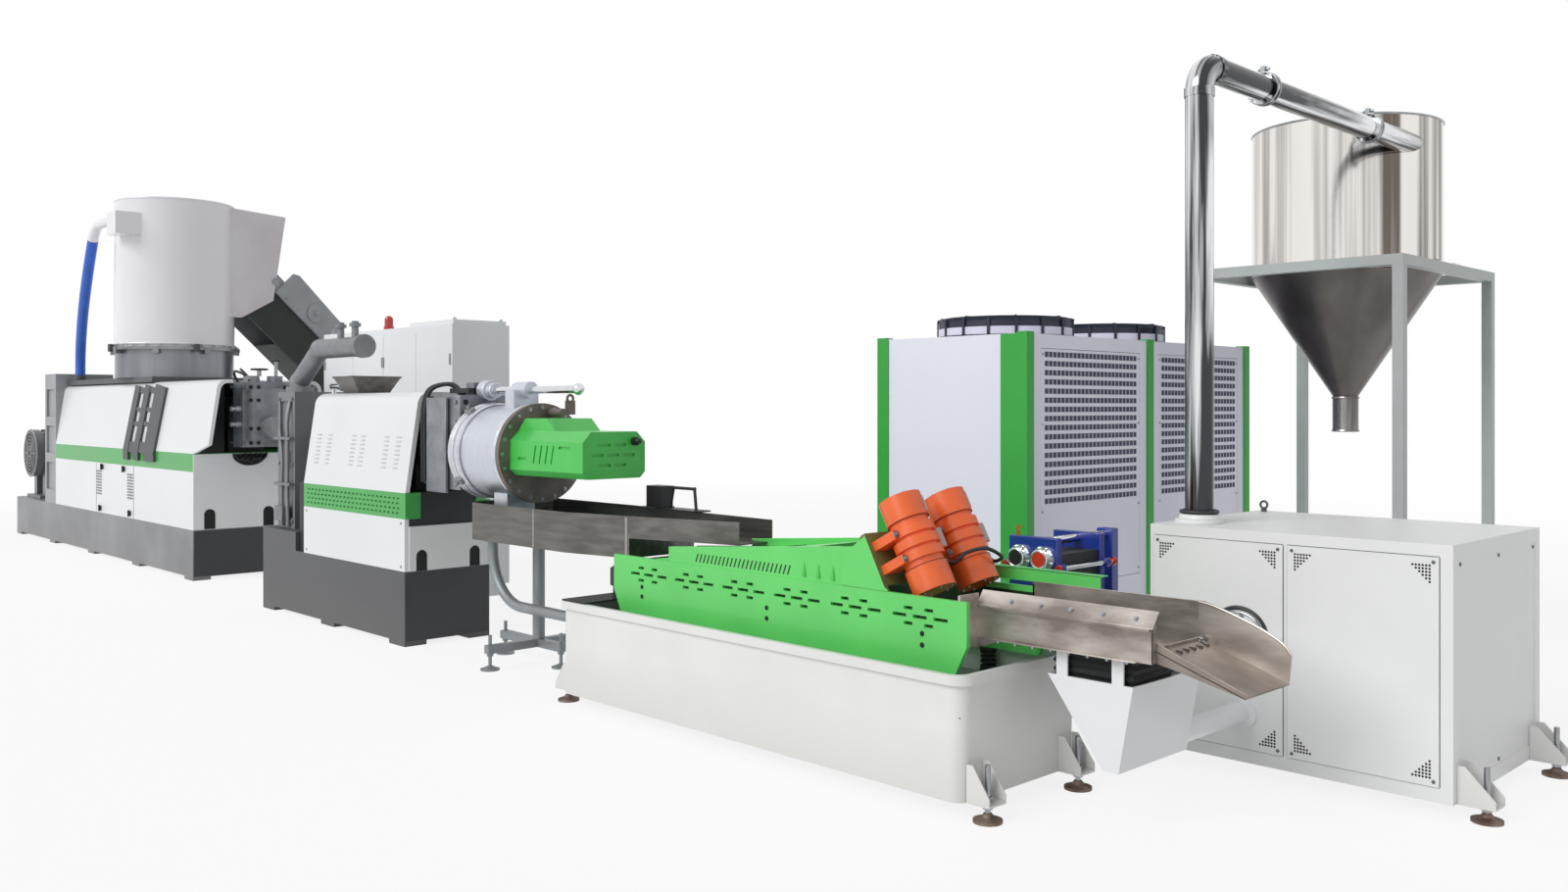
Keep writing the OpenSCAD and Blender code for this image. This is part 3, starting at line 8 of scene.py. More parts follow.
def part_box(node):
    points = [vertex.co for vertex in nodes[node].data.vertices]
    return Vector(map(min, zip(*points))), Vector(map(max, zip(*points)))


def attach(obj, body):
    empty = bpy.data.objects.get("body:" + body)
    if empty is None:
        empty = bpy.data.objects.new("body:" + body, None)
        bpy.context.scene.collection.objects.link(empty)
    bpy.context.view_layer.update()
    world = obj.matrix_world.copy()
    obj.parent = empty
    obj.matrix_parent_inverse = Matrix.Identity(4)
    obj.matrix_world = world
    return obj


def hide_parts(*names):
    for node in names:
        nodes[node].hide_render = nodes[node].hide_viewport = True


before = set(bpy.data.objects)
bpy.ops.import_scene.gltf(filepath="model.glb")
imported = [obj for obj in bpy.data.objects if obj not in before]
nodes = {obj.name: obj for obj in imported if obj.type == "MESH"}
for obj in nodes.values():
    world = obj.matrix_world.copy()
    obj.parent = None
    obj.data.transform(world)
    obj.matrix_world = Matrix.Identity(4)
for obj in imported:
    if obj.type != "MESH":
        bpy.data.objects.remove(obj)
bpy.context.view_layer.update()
scene = bpy.context.scene
print("frame loaded:", len(nodes), "nodes")

axes = {"x": Vector((1, 0, 0)), "y": Vector((0, 1, 0)), "z": Vector((0, 0, 1)),
        "-y": Vector((0, -1, 0)), "-z": Vector((0, 0, -1))}


# spacing
def spaced(low, high, count):
    return [low + (high - low) * k / (count - 1) for k in range(count)]


def turns(count, shift=0.0):
    return [2 * math.pi * (k + shift) / count for k in range(count)]


def onCircle(centre, axis, radius, angle):
    u, v = {"x": (1, 2), "y": (0, 2), "z": (0, 1)}[axis]
    point = Vector(centre)
    point[u] += radius * math.cos(angle)
    point[v] += radius * math.sin(angle)
    return point


def turned(centre, angle, axis):
    return Matrix.Translation(centre) @ Matrix.Rotation(angle, 4, axis)


# mesh helpers, all in metres in the frame of the line
def meshes(count):
    return [bmesh.new() for k in range(count)]


def addBox(bm, corner, other, place=None):
    verts = bmesh.ops.create_cube(bm, size=1)["verts"]
    low, high = [min(pair) for pair in zip(corner, other)], [max(pair) for pair in zip(corner, other)]
    for v in verts:
        v.co = Vector([low[i] + (v.co[i] + 0.5) * (high[i] - low[i]) for i in range(3)])
    if place is not None:
        bmesh.ops.transform(bm, matrix=place, verts=verts)


def addCylinder(bm, start, end, radius, sides=24, endRadius=None):
    start, end = Vector(start), Vector(end)
    axis = end - start
    place = Matrix.Translation((start + end) / 2) @ axis.to_track_quat("Z", "Y").to_matrix().to_4x4()
    bmesh.ops.create_cone(bm, cap_ends=True, segments=sides, radius1=radius, depth=axis.length, matrix=place,
                          radius2=radius if endRadius is None else endRadius)


def toAxis(axis):
    return axes[axis] if isinstance(axis, str) else Vector(axis).normalized()


def addRod(bm, point, axis, length, radius, sides=24, endRadius=None):
    addCylinder(bm, point, Vector(point) + toAxis(axis) * length, radius, sides, endRadius)


def addBolt(bm, point, axis, radius, height):
    addRod(bm, point, axis, height * 0.25, radius * 1.5, 16)
    addRod(bm, point, axis, height, radius, 6)


def sweep(bm, points, radius, sides=12, closed=False):
    points = [Vector(p) for p in points]
    count = len(points)
    rings, side = [], None
    for i, point in enumerate(points):
        before = points[i - 1] if i or closed else point
        after = points[(i + 1) % count] if i < count - 1 or closed else point
        heading = (after - before).normalized()
        if side is None:
            side = heading.orthogonal().normalized()
        side = (side - heading * side.dot(heading)).normalized()
        other = heading.cross(side)
        size = radius[i] if isinstance(radius, list) else radius
        rings.append([bm.verts.new(point + size * (math.cos(a) * side + math.sin(a) * other))
                      for a in turns(sides)])
    for i in range(count if closed else count - 1):
        a, b = rings[i], rings[(i + 1) % count]
        for k in range(sides):
            bm.faces.new((a[k], a[(k + 1) % sides], b[(k + 1) % sides], b[k]))
    if not closed:
        bm.faces.new(list(reversed(rings[0])))
        bm.faces.new(rings[-1])


def addRing(bm, centre, axis, ringRadius, tubeRadius, count=48, sides=8):
    axis = toAxis(axis)
    u = axis.orthogonal().normalized()
    v = axis.cross(u)
    sweep(bm, [Vector(centre) + ringRadius * (math.cos(a) * u + math.sin(a) * v) for a in turns(count)],
          tubeRadius, sides, closed=True)


def addPrism(bm, outline, depth):
    base = [bm.verts.new(Vector(p)) for p in outline]
    top = [bm.verts.new(Vector(p) + Vector(depth)) for p in outline]
    bm.faces.new(base)
    bm.faces.new(list(reversed(top)))
    for i in range(len(base)):
        k = (i + 1) % len(base)
        bm.faces.new((base[k], base[i], top[i], top[k]))


def addLouvre(bm, x, wide, root, tip, z, high, place=Matrix.Identity(4)):
    left = x - wide / 2
    outline = [(left, root, z), (left, tip, z + 0.004), (left, root, z + high)]
    addPrism(bm, [place @ Vector(p) for p in outline], (wide, 0, 0))


def smoothCurve(points, steps=8):
    points = [Vector(p) for p in points]
    ends = [2 * points[0] - points[1]] + points + [2 * points[-1] - points[-2]]
    out = []
    for i in range(1, len(ends) - 2):
        a, b, c, d = ends[i - 1:i + 3]
        for k in range(steps):
            t = k / steps
            out.append(0.5 * (2 * b + (c - a) * t + (2 * a - 5 * b + 4 * c - d) * t ** 2
                              + (3 * b - a - 3 * c + d) * t ** 3))
    return out + [points[-1]]


def addObject(name, data):
    item = bpy.data.objects.new(name, data)
    scene.collection.objects.link(item)
    return item


def makePiece(name, bm, look, body="line", bevel=0.0, sharp=35):
    bmesh.ops.recalc_face_normals(bm, faces=bm.faces)
    mesh = bpy.data.meshes.new(name)
    bm.to_mesh(mesh)
    bm.free()
    for polygon in mesh.polygons:
        polygon.use_smooth = True
    mesh.set_sharp_from_angle(angle=math.radians(sharp))
    mesh.materials.append(looks[look])
    piece = addObject(name, mesh)
    if bevel:
        edge = piece.modifiers.new("edge", "BEVEL")
        edge.width, edge.segments, edge.limit_method = bevel, 2, "ANGLE"
    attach(piece, body)
    return piece


# materials
def shade(hexColor, factor):
    parts = [int(hexColor[i:i + 2], 16) / 255 for i in (1, 3, 5)]
    linear = [c / 12.92 if c <= 0.04045 else ((c + 0.055) / 1.055) ** 2.4 for c in parts]
    return [min(1.0, c * factor) for c in linear] + [1.0]


def addNode(tree, kind, inputs=None, **settings):
    node = tree.nodes.new("ShaderNode" + kind)
    for key, value in settings.items():
        setattr(node, key, value)
    for socket, value in (inputs or {}).items():
        if isinstance(value, bpy.types.NodeSocket):
            tree.links.new(value, node.inputs[socket])
        else:
            node.inputs[socket].default_value = value
    return node


def finish(name, color, vary=0.05, grain=6.0, stretch=(1, 1, 1), rough=0.4, roughVary=0.08, metal=0.0,
           bump=0.02, bumpGrain=120.0, coat=0.0, second=None, spread=(0.35, 0.65), foot=None):
    material = bpy.data.materials.new(name)
    material.use_nodes = True
    tree = material.node_tree
    shader = tree.nodes["Principled BSDF"]
    shader.inputs["Metallic"].default_value = metal
    shader.inputs["Coat Weight"].default_value = coat
    place = addNode(tree, "TexCoord").outputs["Object"]
    along = addNode(tree, "Mapping", {"Vector": place, "Scale": stretch}).outputs["Vector"]
    blotch = addNode(tree, "TexNoise", {"Vector": along, "Scale": grain, "Detail": 5}).outputs["Fac"]
    ramp = addNode(tree, "ValToRGB", {"Fac": blotch})
    tones = shade(second or color, 1 - vary), shade(color, 1 + vary)
    for stop, position, tone in zip(ramp.color_ramp.elements, spread, tones):
        stop.position, stop.color = position, tone
    paint = ramp.outputs["Color"]
    if foot:  # dust near the floor
        height = addNode(tree, "SeparateXYZ", {"Vector": place}).outputs["Z"]
        fall = addNode(tree, "MapRange", {"Value": height, "From Min": foot["low"], "From Max": foot["high"],
                                          "To Min": foot["amount"], "To Max": 0.0}).outputs["Result"]
        dust = addNode(tree, "Math", {0: fall, 1: blotch}, operation="MULTIPLY").outputs["Value"]
        dusty = addNode(tree, "Mix", {0: dust, 6: paint, 7: shade(foot["color"], 1)}, data_type="RGBA")
        paint = dusty.outputs[2]
    polish = addNode(tree, "MapRange", {"Value": blotch, "To Min": rough - roughVary,
                                        "To Max": rough + roughVary})
    fine = addNode(tree, "TexNoise", {"Vector": along, "Scale": bumpGrain, "Detail": 3}).outputs["Fac"]
    relief = addNode(tree, "Bump", {"Height": fine, "Strength": bump, "Distance": 0.01})
    tree.links.new(paint, shader.inputs["Base Color"])
    tree.links.new(polish.outputs["Result"], shader.inputs["Roughness"])
    tree.links.new(relief.outputs["Normal"], shader.inputs["Normal"])
    return material


floorDirt = {"low": 0.0, "high": 0.35, "amount": 0.35, "color": "#6b655c"}
looks = {
    "white": finish("whitePaint", "#e9ebed", vary=0.02, grain=1.4, rough=0.33, coat=0.15, bump=0.015),
    "tankWhite": finish("tankPaint", "#e7e7e5", vary=0.03, grain=2.2, rough=0.38, bump=0.02, foot=floorDirt),
    "doorWhite": finish("doorPaint", "#ebecec", vary=0.02, grain=2.6, rough=0.4, bump=0.03, bumpGrain=260),
    "drumWhite": finish("drumPaint", "#eeedf1", vary=0.025, grain=0.9, rough=0.25, coat=0.3, bump=0.01),
    "chuteWhite": finish("chutePaint", "#dcd9de", vary=0.04, grain=1.3, second="#d3cbd0", rough=0.3,
                         coat=0.2),
    "green": finish("greenPaint", "#66d86b", vary=0.05, grain=2.5, rough=0.34, coat=0.2, bump=0.02),
    "stripe": finish("stripePaint", "#43a84f", vary=0.05, grain=2.5, rough=0.36, coat=0.15, bump=0.02),
    "hoodGreen": finish("hoodPaint", "#47c451", vary=0.06, grain=3.0, rough=0.36, coat=0.2, bump=0.04,
                        bumpGrain=180),
    "postGreen": finish("postPaint", "#33a83f", vary=0.05, grain=2.0, rough=0.4),
    "base": finish("basePaint", "#8f9093", vary=0.07, grain=1.6, second="#7f8083", rough=0.42, bump=0.05,
                   bumpGrain=160, foot=floorDirt),
    "darkBase": finish("darkBasePaint", "#525356", vary=0.07, grain=2.4, rough=0.45, bump=0.05, bumpGrain=160,
                       foot=floorDirt),
    # near black for the sheets on the base ends, darker than the base fronts
    "baseEndDark": finish("baseEndDarkSheet", "#3a3b3d", vary=0.08, grain=3.0, rough=0.5, bump=0.04),
    "machine": finish("machinePaint", "#74777b", vary=0.07, grain=3.0, rough=0.42, bump=0.04),
    "column": finish("columnPaint", "#9b9da0", vary=0.06, grain=3.0, rough=0.42, bump=0.04),
    "plate": finish("platePaint", "#e6e7e7", vary=0.03, grain=2.0, rough=0.42),
    "iron": finish("blackIron", "#26282b", vary=0.12, grain=7.0, rough=0.55, bump=0.08),
    "trim": finish("trimPaint", "#4c4f53", vary=0.08, grain=4.0, rough=0.48, bump=0.04),
    "changer": finish("changerSteel", "#878b90", vary=0.18, grain=9.0, rough=0.42, metal=0.55, bump=0.05),
    "neck": finish("neckSteel", "#8a8c92", vary=0.22, grain=5.0, stretch=(1.0, 1.0, 0.05), rough=0.32,
                   metal=0.6),
    "hose": finish("hoseBlue", "#2a66cf", vary=0.1, grain=9.0, rough=0.38, coat=0.1),
    "conveyor": finish("conveyorPaint", "#a3a6a9", vary=0.08, grain=5.0, rough=0.45, bump=0.04),
    "belt": finish("beltRubber", "#16181a", vary=0.2, grain=12.0, rough=0.72, bump=0.12),
    "guard": finish("guardSheet", "#0f1d18", vary=0.15, grain=3.0, rough=0.5),
    "cabinet": finish("cabinetPaint", "#eceff1", vary=0.02, grain=1.6, rough=0.42, bump=0.05, bumpGrain=320),
    "beacon": finish("beaconRed", "#c21f22", vary=0.08, grain=20.0, rough=0.15, coat=0.6),
    "steel": finish("brushedSteel", "#716f6b", vary=0.2, grain=26.0, stretch=(0.12, 1.0, 1.0), rough=0.34,
                    metal=0.95, bump=0.05),
    "worn": finish("wornSteel", "#c2bbb4", vary=0.2, grain=7.0, stretch=(0.35, 1.0, 1.0), second="#8d857d",
                   rough=0.38, metal=0.85, bump=0.08, bumpGrain=60),
    # darker copy of the worn steel, for the spout's floor and near side
    "spoutDarkerSteel": finish("spoutDarkerSteel", "#8f857d", vary=0.16, grain=6.0, stretch=(0.4, 1.0, 1.0),
                        second="#756c66", rough=0.46, metal=0.7, bump=0.06, bumpGrain=60),
    "vent": finish("ventSteel", "#86898d", vary=0.14, grain=9.0, rough=0.46, metal=0.5, bump=0.06),
    "chrome": finish("rodChrome", "#d9dbde", vary=0.04, grain=14.0, rough=0.09, roughVary=0.04, metal=1.0,
                     bump=0.0),
    "alloy": finish("chamberAlloy", "#cdd1d9", vary=0.05, grain=14.0, stretch=(4.0, 0.4, 0.4), rough=0.36,
                    metal=0.7),
    "disc": finish("discIron", "#7a706b", vary=0.2, grain=8.0, rough=0.5, metal=0.5, bump=0.1),
    "stand": finish("standPaint", "#8c9194", vary=0.07, grain=6.0, rough=0.42, metal=0.3),
    "black": finish("blackPlastic", "#1a1b1e", vary=0.15, grain=10.0, rough=0.45, bump=0.05),
    "olive": finish("olivePaint", "#707f4c", vary=0.08, grain=5.0, rough=0.45),
    "orange": finish("orangePaint", "#f36a2c", vary=0.07, grain=8.0, rough=0.34, coat=0.25, bump=0.03),
    "chiller": finish("chillerPaint", "#f0f0ff", vary=0.015, grain=1.2, rough=0.38, bump=0.02, bumpGrain=220),
    "fan": finish("fanBlack", "#191f33", vary=0.2, grain=10.0, rough=0.4),
    "blue": finish("exchangerBlue", "#1c3494", vary=0.08, grain=6.0, rough=0.3, coat=0.35),
    "pack": finish("platePack", "#191b1f", vary=0.5, grain=2.0, stretch=(0.2, 150.0, 0.2), rough=0.55,
                   bump=0.5, bumpGrain=2.0),
    "frame": finish("framePaint", "#b2b8b7", vary=0.05, grain=4.0, rough=0.42, foot=floorDirt),
    # silo steel with dark vertical streaks in its colour: painted reflections
    "silo": finish("siloSteelPaintedReflections", "#e6e3df", vary=0.03, grain=9.0, stretch=(1.0, 1.0, 0.012), second="#6d655e",
                   spread=(0.36, 0.54), rough=0.15, roughVary=0.05, metal=1.0, bump=0.03, bumpGrain=40),
    "cone": finish("coneSteel", "#6e6a68", vary=0.1, grain=2.0, stretch=(1.0, 1.0, 0.3), second="#4d4947",
                   rough=0.3, metal=1.0, bump=0.03, bumpGrain=90),
    # pipe steel with dark streaks in its colour: painted reflections
    "pipe": finish("pipeSteelPaintedReflections", "#dfe0e2", vary=0.04, grain=34.0, stretch=(1.0, 0.02, 0.02), second="#454648",
                   spread=(0.44, 0.58), rough=0.13, roughVary=0.05, metal=1.0, bump=0.01),
    "dark": finish("darkSlot", "#0c0d0f", vary=0.2, grain=8.0, rough=0.7),
    # lighter steel for the beads on the trough's bends: painted highlight
    "bendHighlight": finish("bendHighlightBand", "#9d9b97", vary=0.1, grain=40.0, rough=0.4, metal=0.9, bump=0.1,
                   bumpGrain=200),
    "water": finish("stillWater", "#6f8583", vary=0.06, grain=2.0, rough=0.06, roughVary=0.03, bump=0.06,
                    bumpGrain=9.0),
    "orangeDark": finish("orangeGroove", "#9c3d1a", vary=0.1, grain=10.0, rough=0.5),
    "greenDeep": finish("deepGreenShade", "#0d2a12", vary=0.2, grain=6.0, rough=0.6),
    "outlet": finish("outletSteel", "#a19f9c", vary=0.12, grain=9.0, stretch=(1.0, 1.0, 0.1),
                     second="#6f6d6a", rough=0.26, metal=1.0),
    "slotBrown": finish("spoutSlot", "#5b534d", vary=0.2, grain=20.0, rough=0.6),
    "slot": finish("grilleSlot", "#44455e", vary=0.25, grain=14.0, rough=0.6),
    "cowl": finish("fanCowl", "#dcdcec", vary=0.04, grain=8.0, rough=0.4),
    "redCap": finish("portCap", "#e8402c", vary=0.1, grain=20.0, rough=0.4),
    "seamDark": finish("doorSeam", "#5d6064", vary=0.1, grain=8.0, rough=0.6),
    "louvre": finish("louvreLip", "#cfd3d7", vary=0.03, grain=6.0, rough=0.4),
    "alloyBright": finish("ringAlloy", "#d8dbe0", vary=0.08, grain=20.0, rough=0.22, metal=0.85),
    "seam": finish("seamGrey", "#8b8f94", vary=0.08, grain=8.0, rough=0.6),
    "zinc": finish("zincBolts", "#9fa2a5", vary=0.15, grain=30.0, rough=0.32, metal=0.9),
    "brass": finish("brassValve", "#b98d3c", vary=0.12, grain=20.0, rough=0.3, metal=0.9),
    "red": finish("redPaint", "#b5232a", vary=0.08, grain=14.0, rough=0.35, coat=0.2),
    "pale": finish("paleCover", "#b9b1b2", vary=0.06, grain=10.0, rough=0.45),
    "rust": finish("rustyFoot", "#857469", vary=0.2, grain=20.0, second="#6a5348", rough=0.6, metal=0.3,
                   bump=0.1),
}

nodeLooks = {
    "white": ["ext1_lower_panel", "ext1_cover", "ext2_lower_panel", "ext2_cover", "pellet_hopper"],
    "tankWhite": ["water_tank"],
    "doorWhite": ["blower_cabinet", "blower_doors"],
    "drumWhite": ["compactor_drum", "compactor_lid", "suction_duct"],
    "chuteWhite": ["feed_chute"],
    "stripe": ["ext1_stripe", "ext2_stripe"],
    "green": ["screen_panels", "screen_deck"],
    "hoodGreen": ["cutter_hood"],
    "postGreen": ["chiller_posts"],
    "base": ["ext1_base"],
    "darkBase": ["ext2_base"],
    "machine": ["ext2_gearbox", "ext1_motor"],
    "column": ["ext1_gearbox"],
    "plate": ["ext1_end_plate", "ext2_end_plate"],
    "iron": ["ext1_barrel", "ext2_barrel", "screen_springs"],
    "trim": ["ext1_vent_bars", "compactor_platform"],
    "changer": ["ext1_screen_changer", "ext2_screen_changer"],
    "neck": ["compactor_neck"],
    "hose": ["suction_hose"],
    "conveyor": ["conveyor_frame"],
    "belt": ["conveyor_belt"],
    "cabinet": ["control_cabinet"],
    "beacon": ["warning_beacon"],
    "steel": ["feed_hopper", "water_trough"],
    "worn": ["discharge_trough"],
    "vent": ["vent_pipe"],
    "chrome": ["guide_rod"],
    "alloy": ["water_chamber"],
    "disc": ["cutter_disc"],
    "stand": ["trough_stand", "drain_pipe", "levelling_feet"],
    "black": ["trough_fittings", "tank_pump"],
    "olive": ["shaker_mount"],
    "orange": ["shaker_motors"],
    "chiller": ["chiller_body"],
    "fan": ["chiller_fans"],
    "blue": ["exchanger_frame"],
    "pack": ["exchanger_plates"],
    "frame": ["silo_frame"],
    "silo": ["silo_shell"],
    "cone": ["silo_cone"],
    "pipe": ["conveying_pipe"],
}
for look, names in nodeLooks.items():
    for name in names:
        for materialSlot in nodes[name].material_slots:
            materialSlot.material = looks[look]
print("materials set")

# camera as in the photograph, and one soft sun
view = {"place": (10.0, -6.43, 1.6), "azimuth": 46.1, "lens": 29.25, "sensor": 36, "shiftY": -0.025,
        "reach": 200}
camera = bpy.data.cameras.new("camera")
camera.lens, camera.sensor_width = view["lens"], view["sensor"]
camera.shift_y, camera.clip_end = view["shiftY"], view["reach"]
cameraObject = addObject("camera", camera)
cameraObject.location = view["place"]
cameraObject.rotation_euler = (math.radians(90), 0, math.radians(view["azimuth"]))
scene.camera = cameraObject
scene.view_settings.view_transform = "Standard"

sun = {"heading": (0.12, 0.8, -0.55), "strength": 1.55, "angle": 35}
lamp = bpy.data.lights.new("keyLight", "SUN")
lamp.energy, lamp.angle = sun["strength"], math.radians(sun["angle"])
addObject("keyLight", lamp).rotation_euler = Vector(sun["heading"]).to_track_quat("-Z", "Y").to_euler()


# white studio: the sky and the floor are lighter where they are seen than where they light the line
def seenRays(tree):
    rays = addNode(tree, "LightPath").outputs
    seen = rays["Is Camera Ray"]
    for ray in ("Is Glossy Ray", "Is Transmission Ray"):
        seen = addNode(tree, "Math", {0: seen, 1: rays[ray]}, operation="MAXIMUM").outputs["Value"]
    return seen


sky = {"light": 0.47, "shown": 1.0, "color": (1, 1, 1, 1)}
world = bpy.data.worlds.new("studio")
scene.world = world
world.use_nodes = True
tree = world.node_tree
background = tree.nodes["Background"]
background.inputs["Color"].default_value = sky["color"]
level = addNode(tree, "MapRange", {"Value": seenRays(tree), "To Min": sky["light"], "To Max": sky["shown"]})
tree.links.new(level.outputs["Result"], background.inputs["Strength"])

floor = {"size": 70, "color": (0.93, 0.93, 0.93, 1), "rough": 0.8, "glow": (1, 1, 1, 1), "near": 0.84,
         "far": 1.0, "from": 8.5, "to": 17.0}
floorBm = bmesh.new()
bmesh.ops.create_grid(floorBm, x_segments=1, y_segments=1, size=floor["size"])
floorMesh = bpy.data.meshes.new("floor")
floorBm.to_mesh(floorMesh)
floorBm.free()
floorPaint = bpy.data.materials.new("floorPaint")
floorPaint.use_nodes = True
tree = floorPaint.node_tree
matte = tree.nodes["Principled BSDF"]
for socket, value in (("Base Color", floor["color"]), ("Roughness", floor["rough"]),
                      ("Specular IOR Level", 0.0)):
    matte.inputs[socket].default_value = value
glow = addNode(tree, "Emission", {"Color": floor["glow"]}).outputs["Emission"]
place = addNode(tree, "TexCoord").outputs["Object"]
reach = addNode(tree, "VectorMath", {0: place}, operation="LENGTH").outputs["Value"]
fade = addNode(tree, "MapRange", {"Value": reach, "From Min": floor["from"], "From Max": floor["to"],
                                  "To Min": floor["near"], "To Max": floor["far"]}).outputs["Result"]
share = addNode(tree, "Math", {0: seenRays(tree), 1: fade}, operation="MULTIPLY").outputs["Value"]
mix = addNode(tree, "MixShader", {"Fac": share, 1: matte.outputs["BSDF"], 2: glow})
tree.links.new(mix.outputs["Shader"], tree.nodes["Material Output"].inputs["Surface"])
floorMesh.materials.append(floorPaint)
addObject("floor", floorMesh)
print("camera, light and floor set")

# blue suction hose, a ribbed tube on the route that the part's source gives
hose = {"start": (-5.0618, -2.275, 3.3865), "away": (-0.5, 0.0, -0.8660254), "pull": 0.62, "drop": 0.47,
        "foot": (-6.36, -2.05, 1.93), "neck": 0.09, "neckSteps": 12, "radius": 0.055, "groove": 0.0035,
        "ribs": 96}
hoseStart, hoseFoot = Vector(hose["start"]), Vector(hose["foot"])
hoseNeck = hoseFoot + axes["z"] * hose["neck"]
bend = [hoseStart, hoseStart + hose["pull"] * Vector(hose["away"]), hoseNeck + axes["z"] * hose["drop"],
        hoseNeck]
hosePath = []
for t in spaced(0, 1, 4 * hose["ribs"] + 1):
    weights = (1 - t) ** 3, 3 * t * (1 - t) ** 2, 3 * t * t * (1 - t), t ** 3
    hosePath.append(sum((w * p for w, p in zip(weights, bend)), Vector()))
hosePath += [hoseNeck.lerp(hoseFoot, (k + 1) / hose["neckSteps"]) for k in range(hose["neckSteps"])]
hoseRadius = [hose["radius"] - hose["groove"] * (0.5 - 0.5 * math.cos(math.pi * k / 2))
              for k in range(len(hosePath))]
hoseBm = bmesh.new()
sweep(hoseBm, hosePath, hoseRadius, 20)
hosePiece = makePiece("suctionHose", hoseBm, "hose", sharp=60)
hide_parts("suction_hose")

# first extruder: door seams, louvres and latches
ext1 = {"front": -2.23, "seamZ": (0.47, 0.996), "seamHalf": 0.004, "seamOut": 0.0015,
        "doorX": (-5.1, -3.86), "louvreX": (-5.0, -3.97), "louvreZ": (0.66, 0.9), "louvreCount": 9,
        "louvreWide": 0.17, "louvreOut": 0.008, "louvreHigh": 0.018,
        "latches": ((-4.874, 0.96), (-4.154, 0.96), (-4.942, 0.515), (-3.967, 0.515)), "latchRadius": 0.028,
        "latchDeep": 0.012, "grip": (0.012, 0.014, 0.034)}
front, seamHalf, seamOut = ext1["front"], ext1["seamHalf"], ext1["seamOut"]
seamLow, seamHigh = ext1["seamZ"]
seamBm, louvreBm, latchBm = meshes(3)
for x in ext1["doorX"]:
    addBox(seamBm, (x - seamHalf, front - seamOut, seamLow), (x + seamHalf, front, seamHigh))
for x in ext1["louvreX"]:
    for z in spaced(*ext1["louvreZ"], ext1["louvreCount"]):
        addLouvre(louvreBm, x, ext1["louvreWide"], front, front - ext1["louvreOut"], z, ext1["louvreHigh"])
gripWide, gripDeep, gripHigh = ext1["grip"]
gripBack = front - ext1["latchDeep"]
for x, z in ext1["latches"]:
    addRod(latchBm, (x, front, z), "-y", ext1["latchDeep"], ext1["latchRadius"], 20)
    addBox(latchBm, (x - gripWide, gripBack - gripDeep, z - gripHigh), (x + gripWide, gripBack, z + gripHigh))
makePiece("ext1DoorSeams", seamBm, "seam")
makePiece("ext1Louvres", louvreBm, "seam")
makePiece("ext1Latches", latchBm, "black", bevel=0.003)

# its motor: fins clear of the foot, fan cowl with rings and spokes
motor = {"x": -7.92, "z": 1.026, "front": -2.2, "finY": (-2.04, -1.64), "radius": 0.29, "fins": 40,
         "finHigh": 0.022, "finHalf": 0.004, "footGap": 0.25, "rings": (0.05, 0.25, 6), "spokes": 8,
         "spoke": (0.03, 0.255), "wire": 0.005, "shade": 0.262}
centre = (motor["x"], motor["front"] - 0.004, motor["z"])
finBm, cowlBm, fanBm = meshes(3)
for angle in turns(motor["fins"]):
    if abs(math.sin(angle) + 1) >= motor["footGap"]:
        addBox(finBm, (motor["radius"] - 0.004, motor["finY"][0], -motor["finHalf"]),
               (motor["radius"] + motor["finHigh"], motor["finY"][1], motor["finHalf"]),
               turned((motor["x"], 0, motor["z"]), angle, "Y"))
for radius in spaced(*motor["rings"]):
    addRing(cowlBm, centre, "y", radius, motor["wire"], 40, 6)
for angle in turns(motor["spokes"]):
    sweep(cowlBm, [onCircle(centre, "y", reach, angle) for reach in motor["spoke"]], motor["wire"], 6)
addRing(cowlBm, (motor["x"], motor["front"] + 0.01, motor["z"]), "y", motor["radius"] - 0.004, 0.012, 56)
addRod(fanBm, (motor["x"], motor["front"] - 0.002, motor["z"]), "y", 0.002, motor["shade"], 56)
makePiece("motorFins", finBm, "machine")
makePiece("motorCowl", cowlBm, "column")
makePiece("motorFanShade", fanBm, "dark")

# dark sheets on the ends of both bases, much darker than their fronts
baseEnds = {"sheet": 0.0015, "rim": 0.01, "low": 0.035, "ext2Top": 0.5}
for name in ("ext1_base", "ext2_base"):
    low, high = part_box(name)
    top = high.z if name == "ext1_base" else baseEnds["ext2Top"]
    endBm = bmesh.new()
    addBox(endBm, (high.x, low.y + baseEnds["rim"], baseEnds["low"]),
           (high.x + baseEnds["sheet"], high.y - baseEnds["rim"], top - baseEnds["rim"]))
    makePiece(name.replace("_base", "BaseEnd"), endBm, "baseEndDark")
print("first extruder dressed")

# compactor drum: rims, flange bolts and clamps
drum = {"centre": (-4.46, -1.63), "radius": 0.587, "low": 2.225, "top": 3.76, "bolts": 28,
        "boltRadius": 0.62, "clamps": 4}
rimBm, boltBm, clampBm = meshes(3)
addRing(rimBm, (*drum["centre"], drum["low"] + 0.034), "z", drum["radius"] + 0.004, 0.014, 72)
addRing(rimBm, (*drum["centre"], drum["top"] + 0.004), "z", drum["radius"] - 0.004, 0.011, 72)
for angle in turns(drum["bolts"], 0.5):
    point = onCircle((*drum["centre"], drum["low"] + 0.004), "z", drum["boltRadius"], angle)
    addBolt(boltBm, point, "z", 0.011, 0.02)
for angle in turns(drum["clamps"]):
    atClamp = turned((*drum["centre"], drum["low"]), angle, "Z")
    addBox(clampBm, (0.628, -0.03, -0.05), (0.664, 0.03, 0.03), atClamp)
    addBox(clampBm, (0.6, -0.02, 0.002), (0.65, 0.02, 0.026), atClamp)
makePiece("drumRims", rimBm, "drumWhite")
makePiece("flangeBolts", boltBm, "zinc")
makePiece("flangeClamps", clampBm, "trim", bevel=0.004)
print("drum dressed")

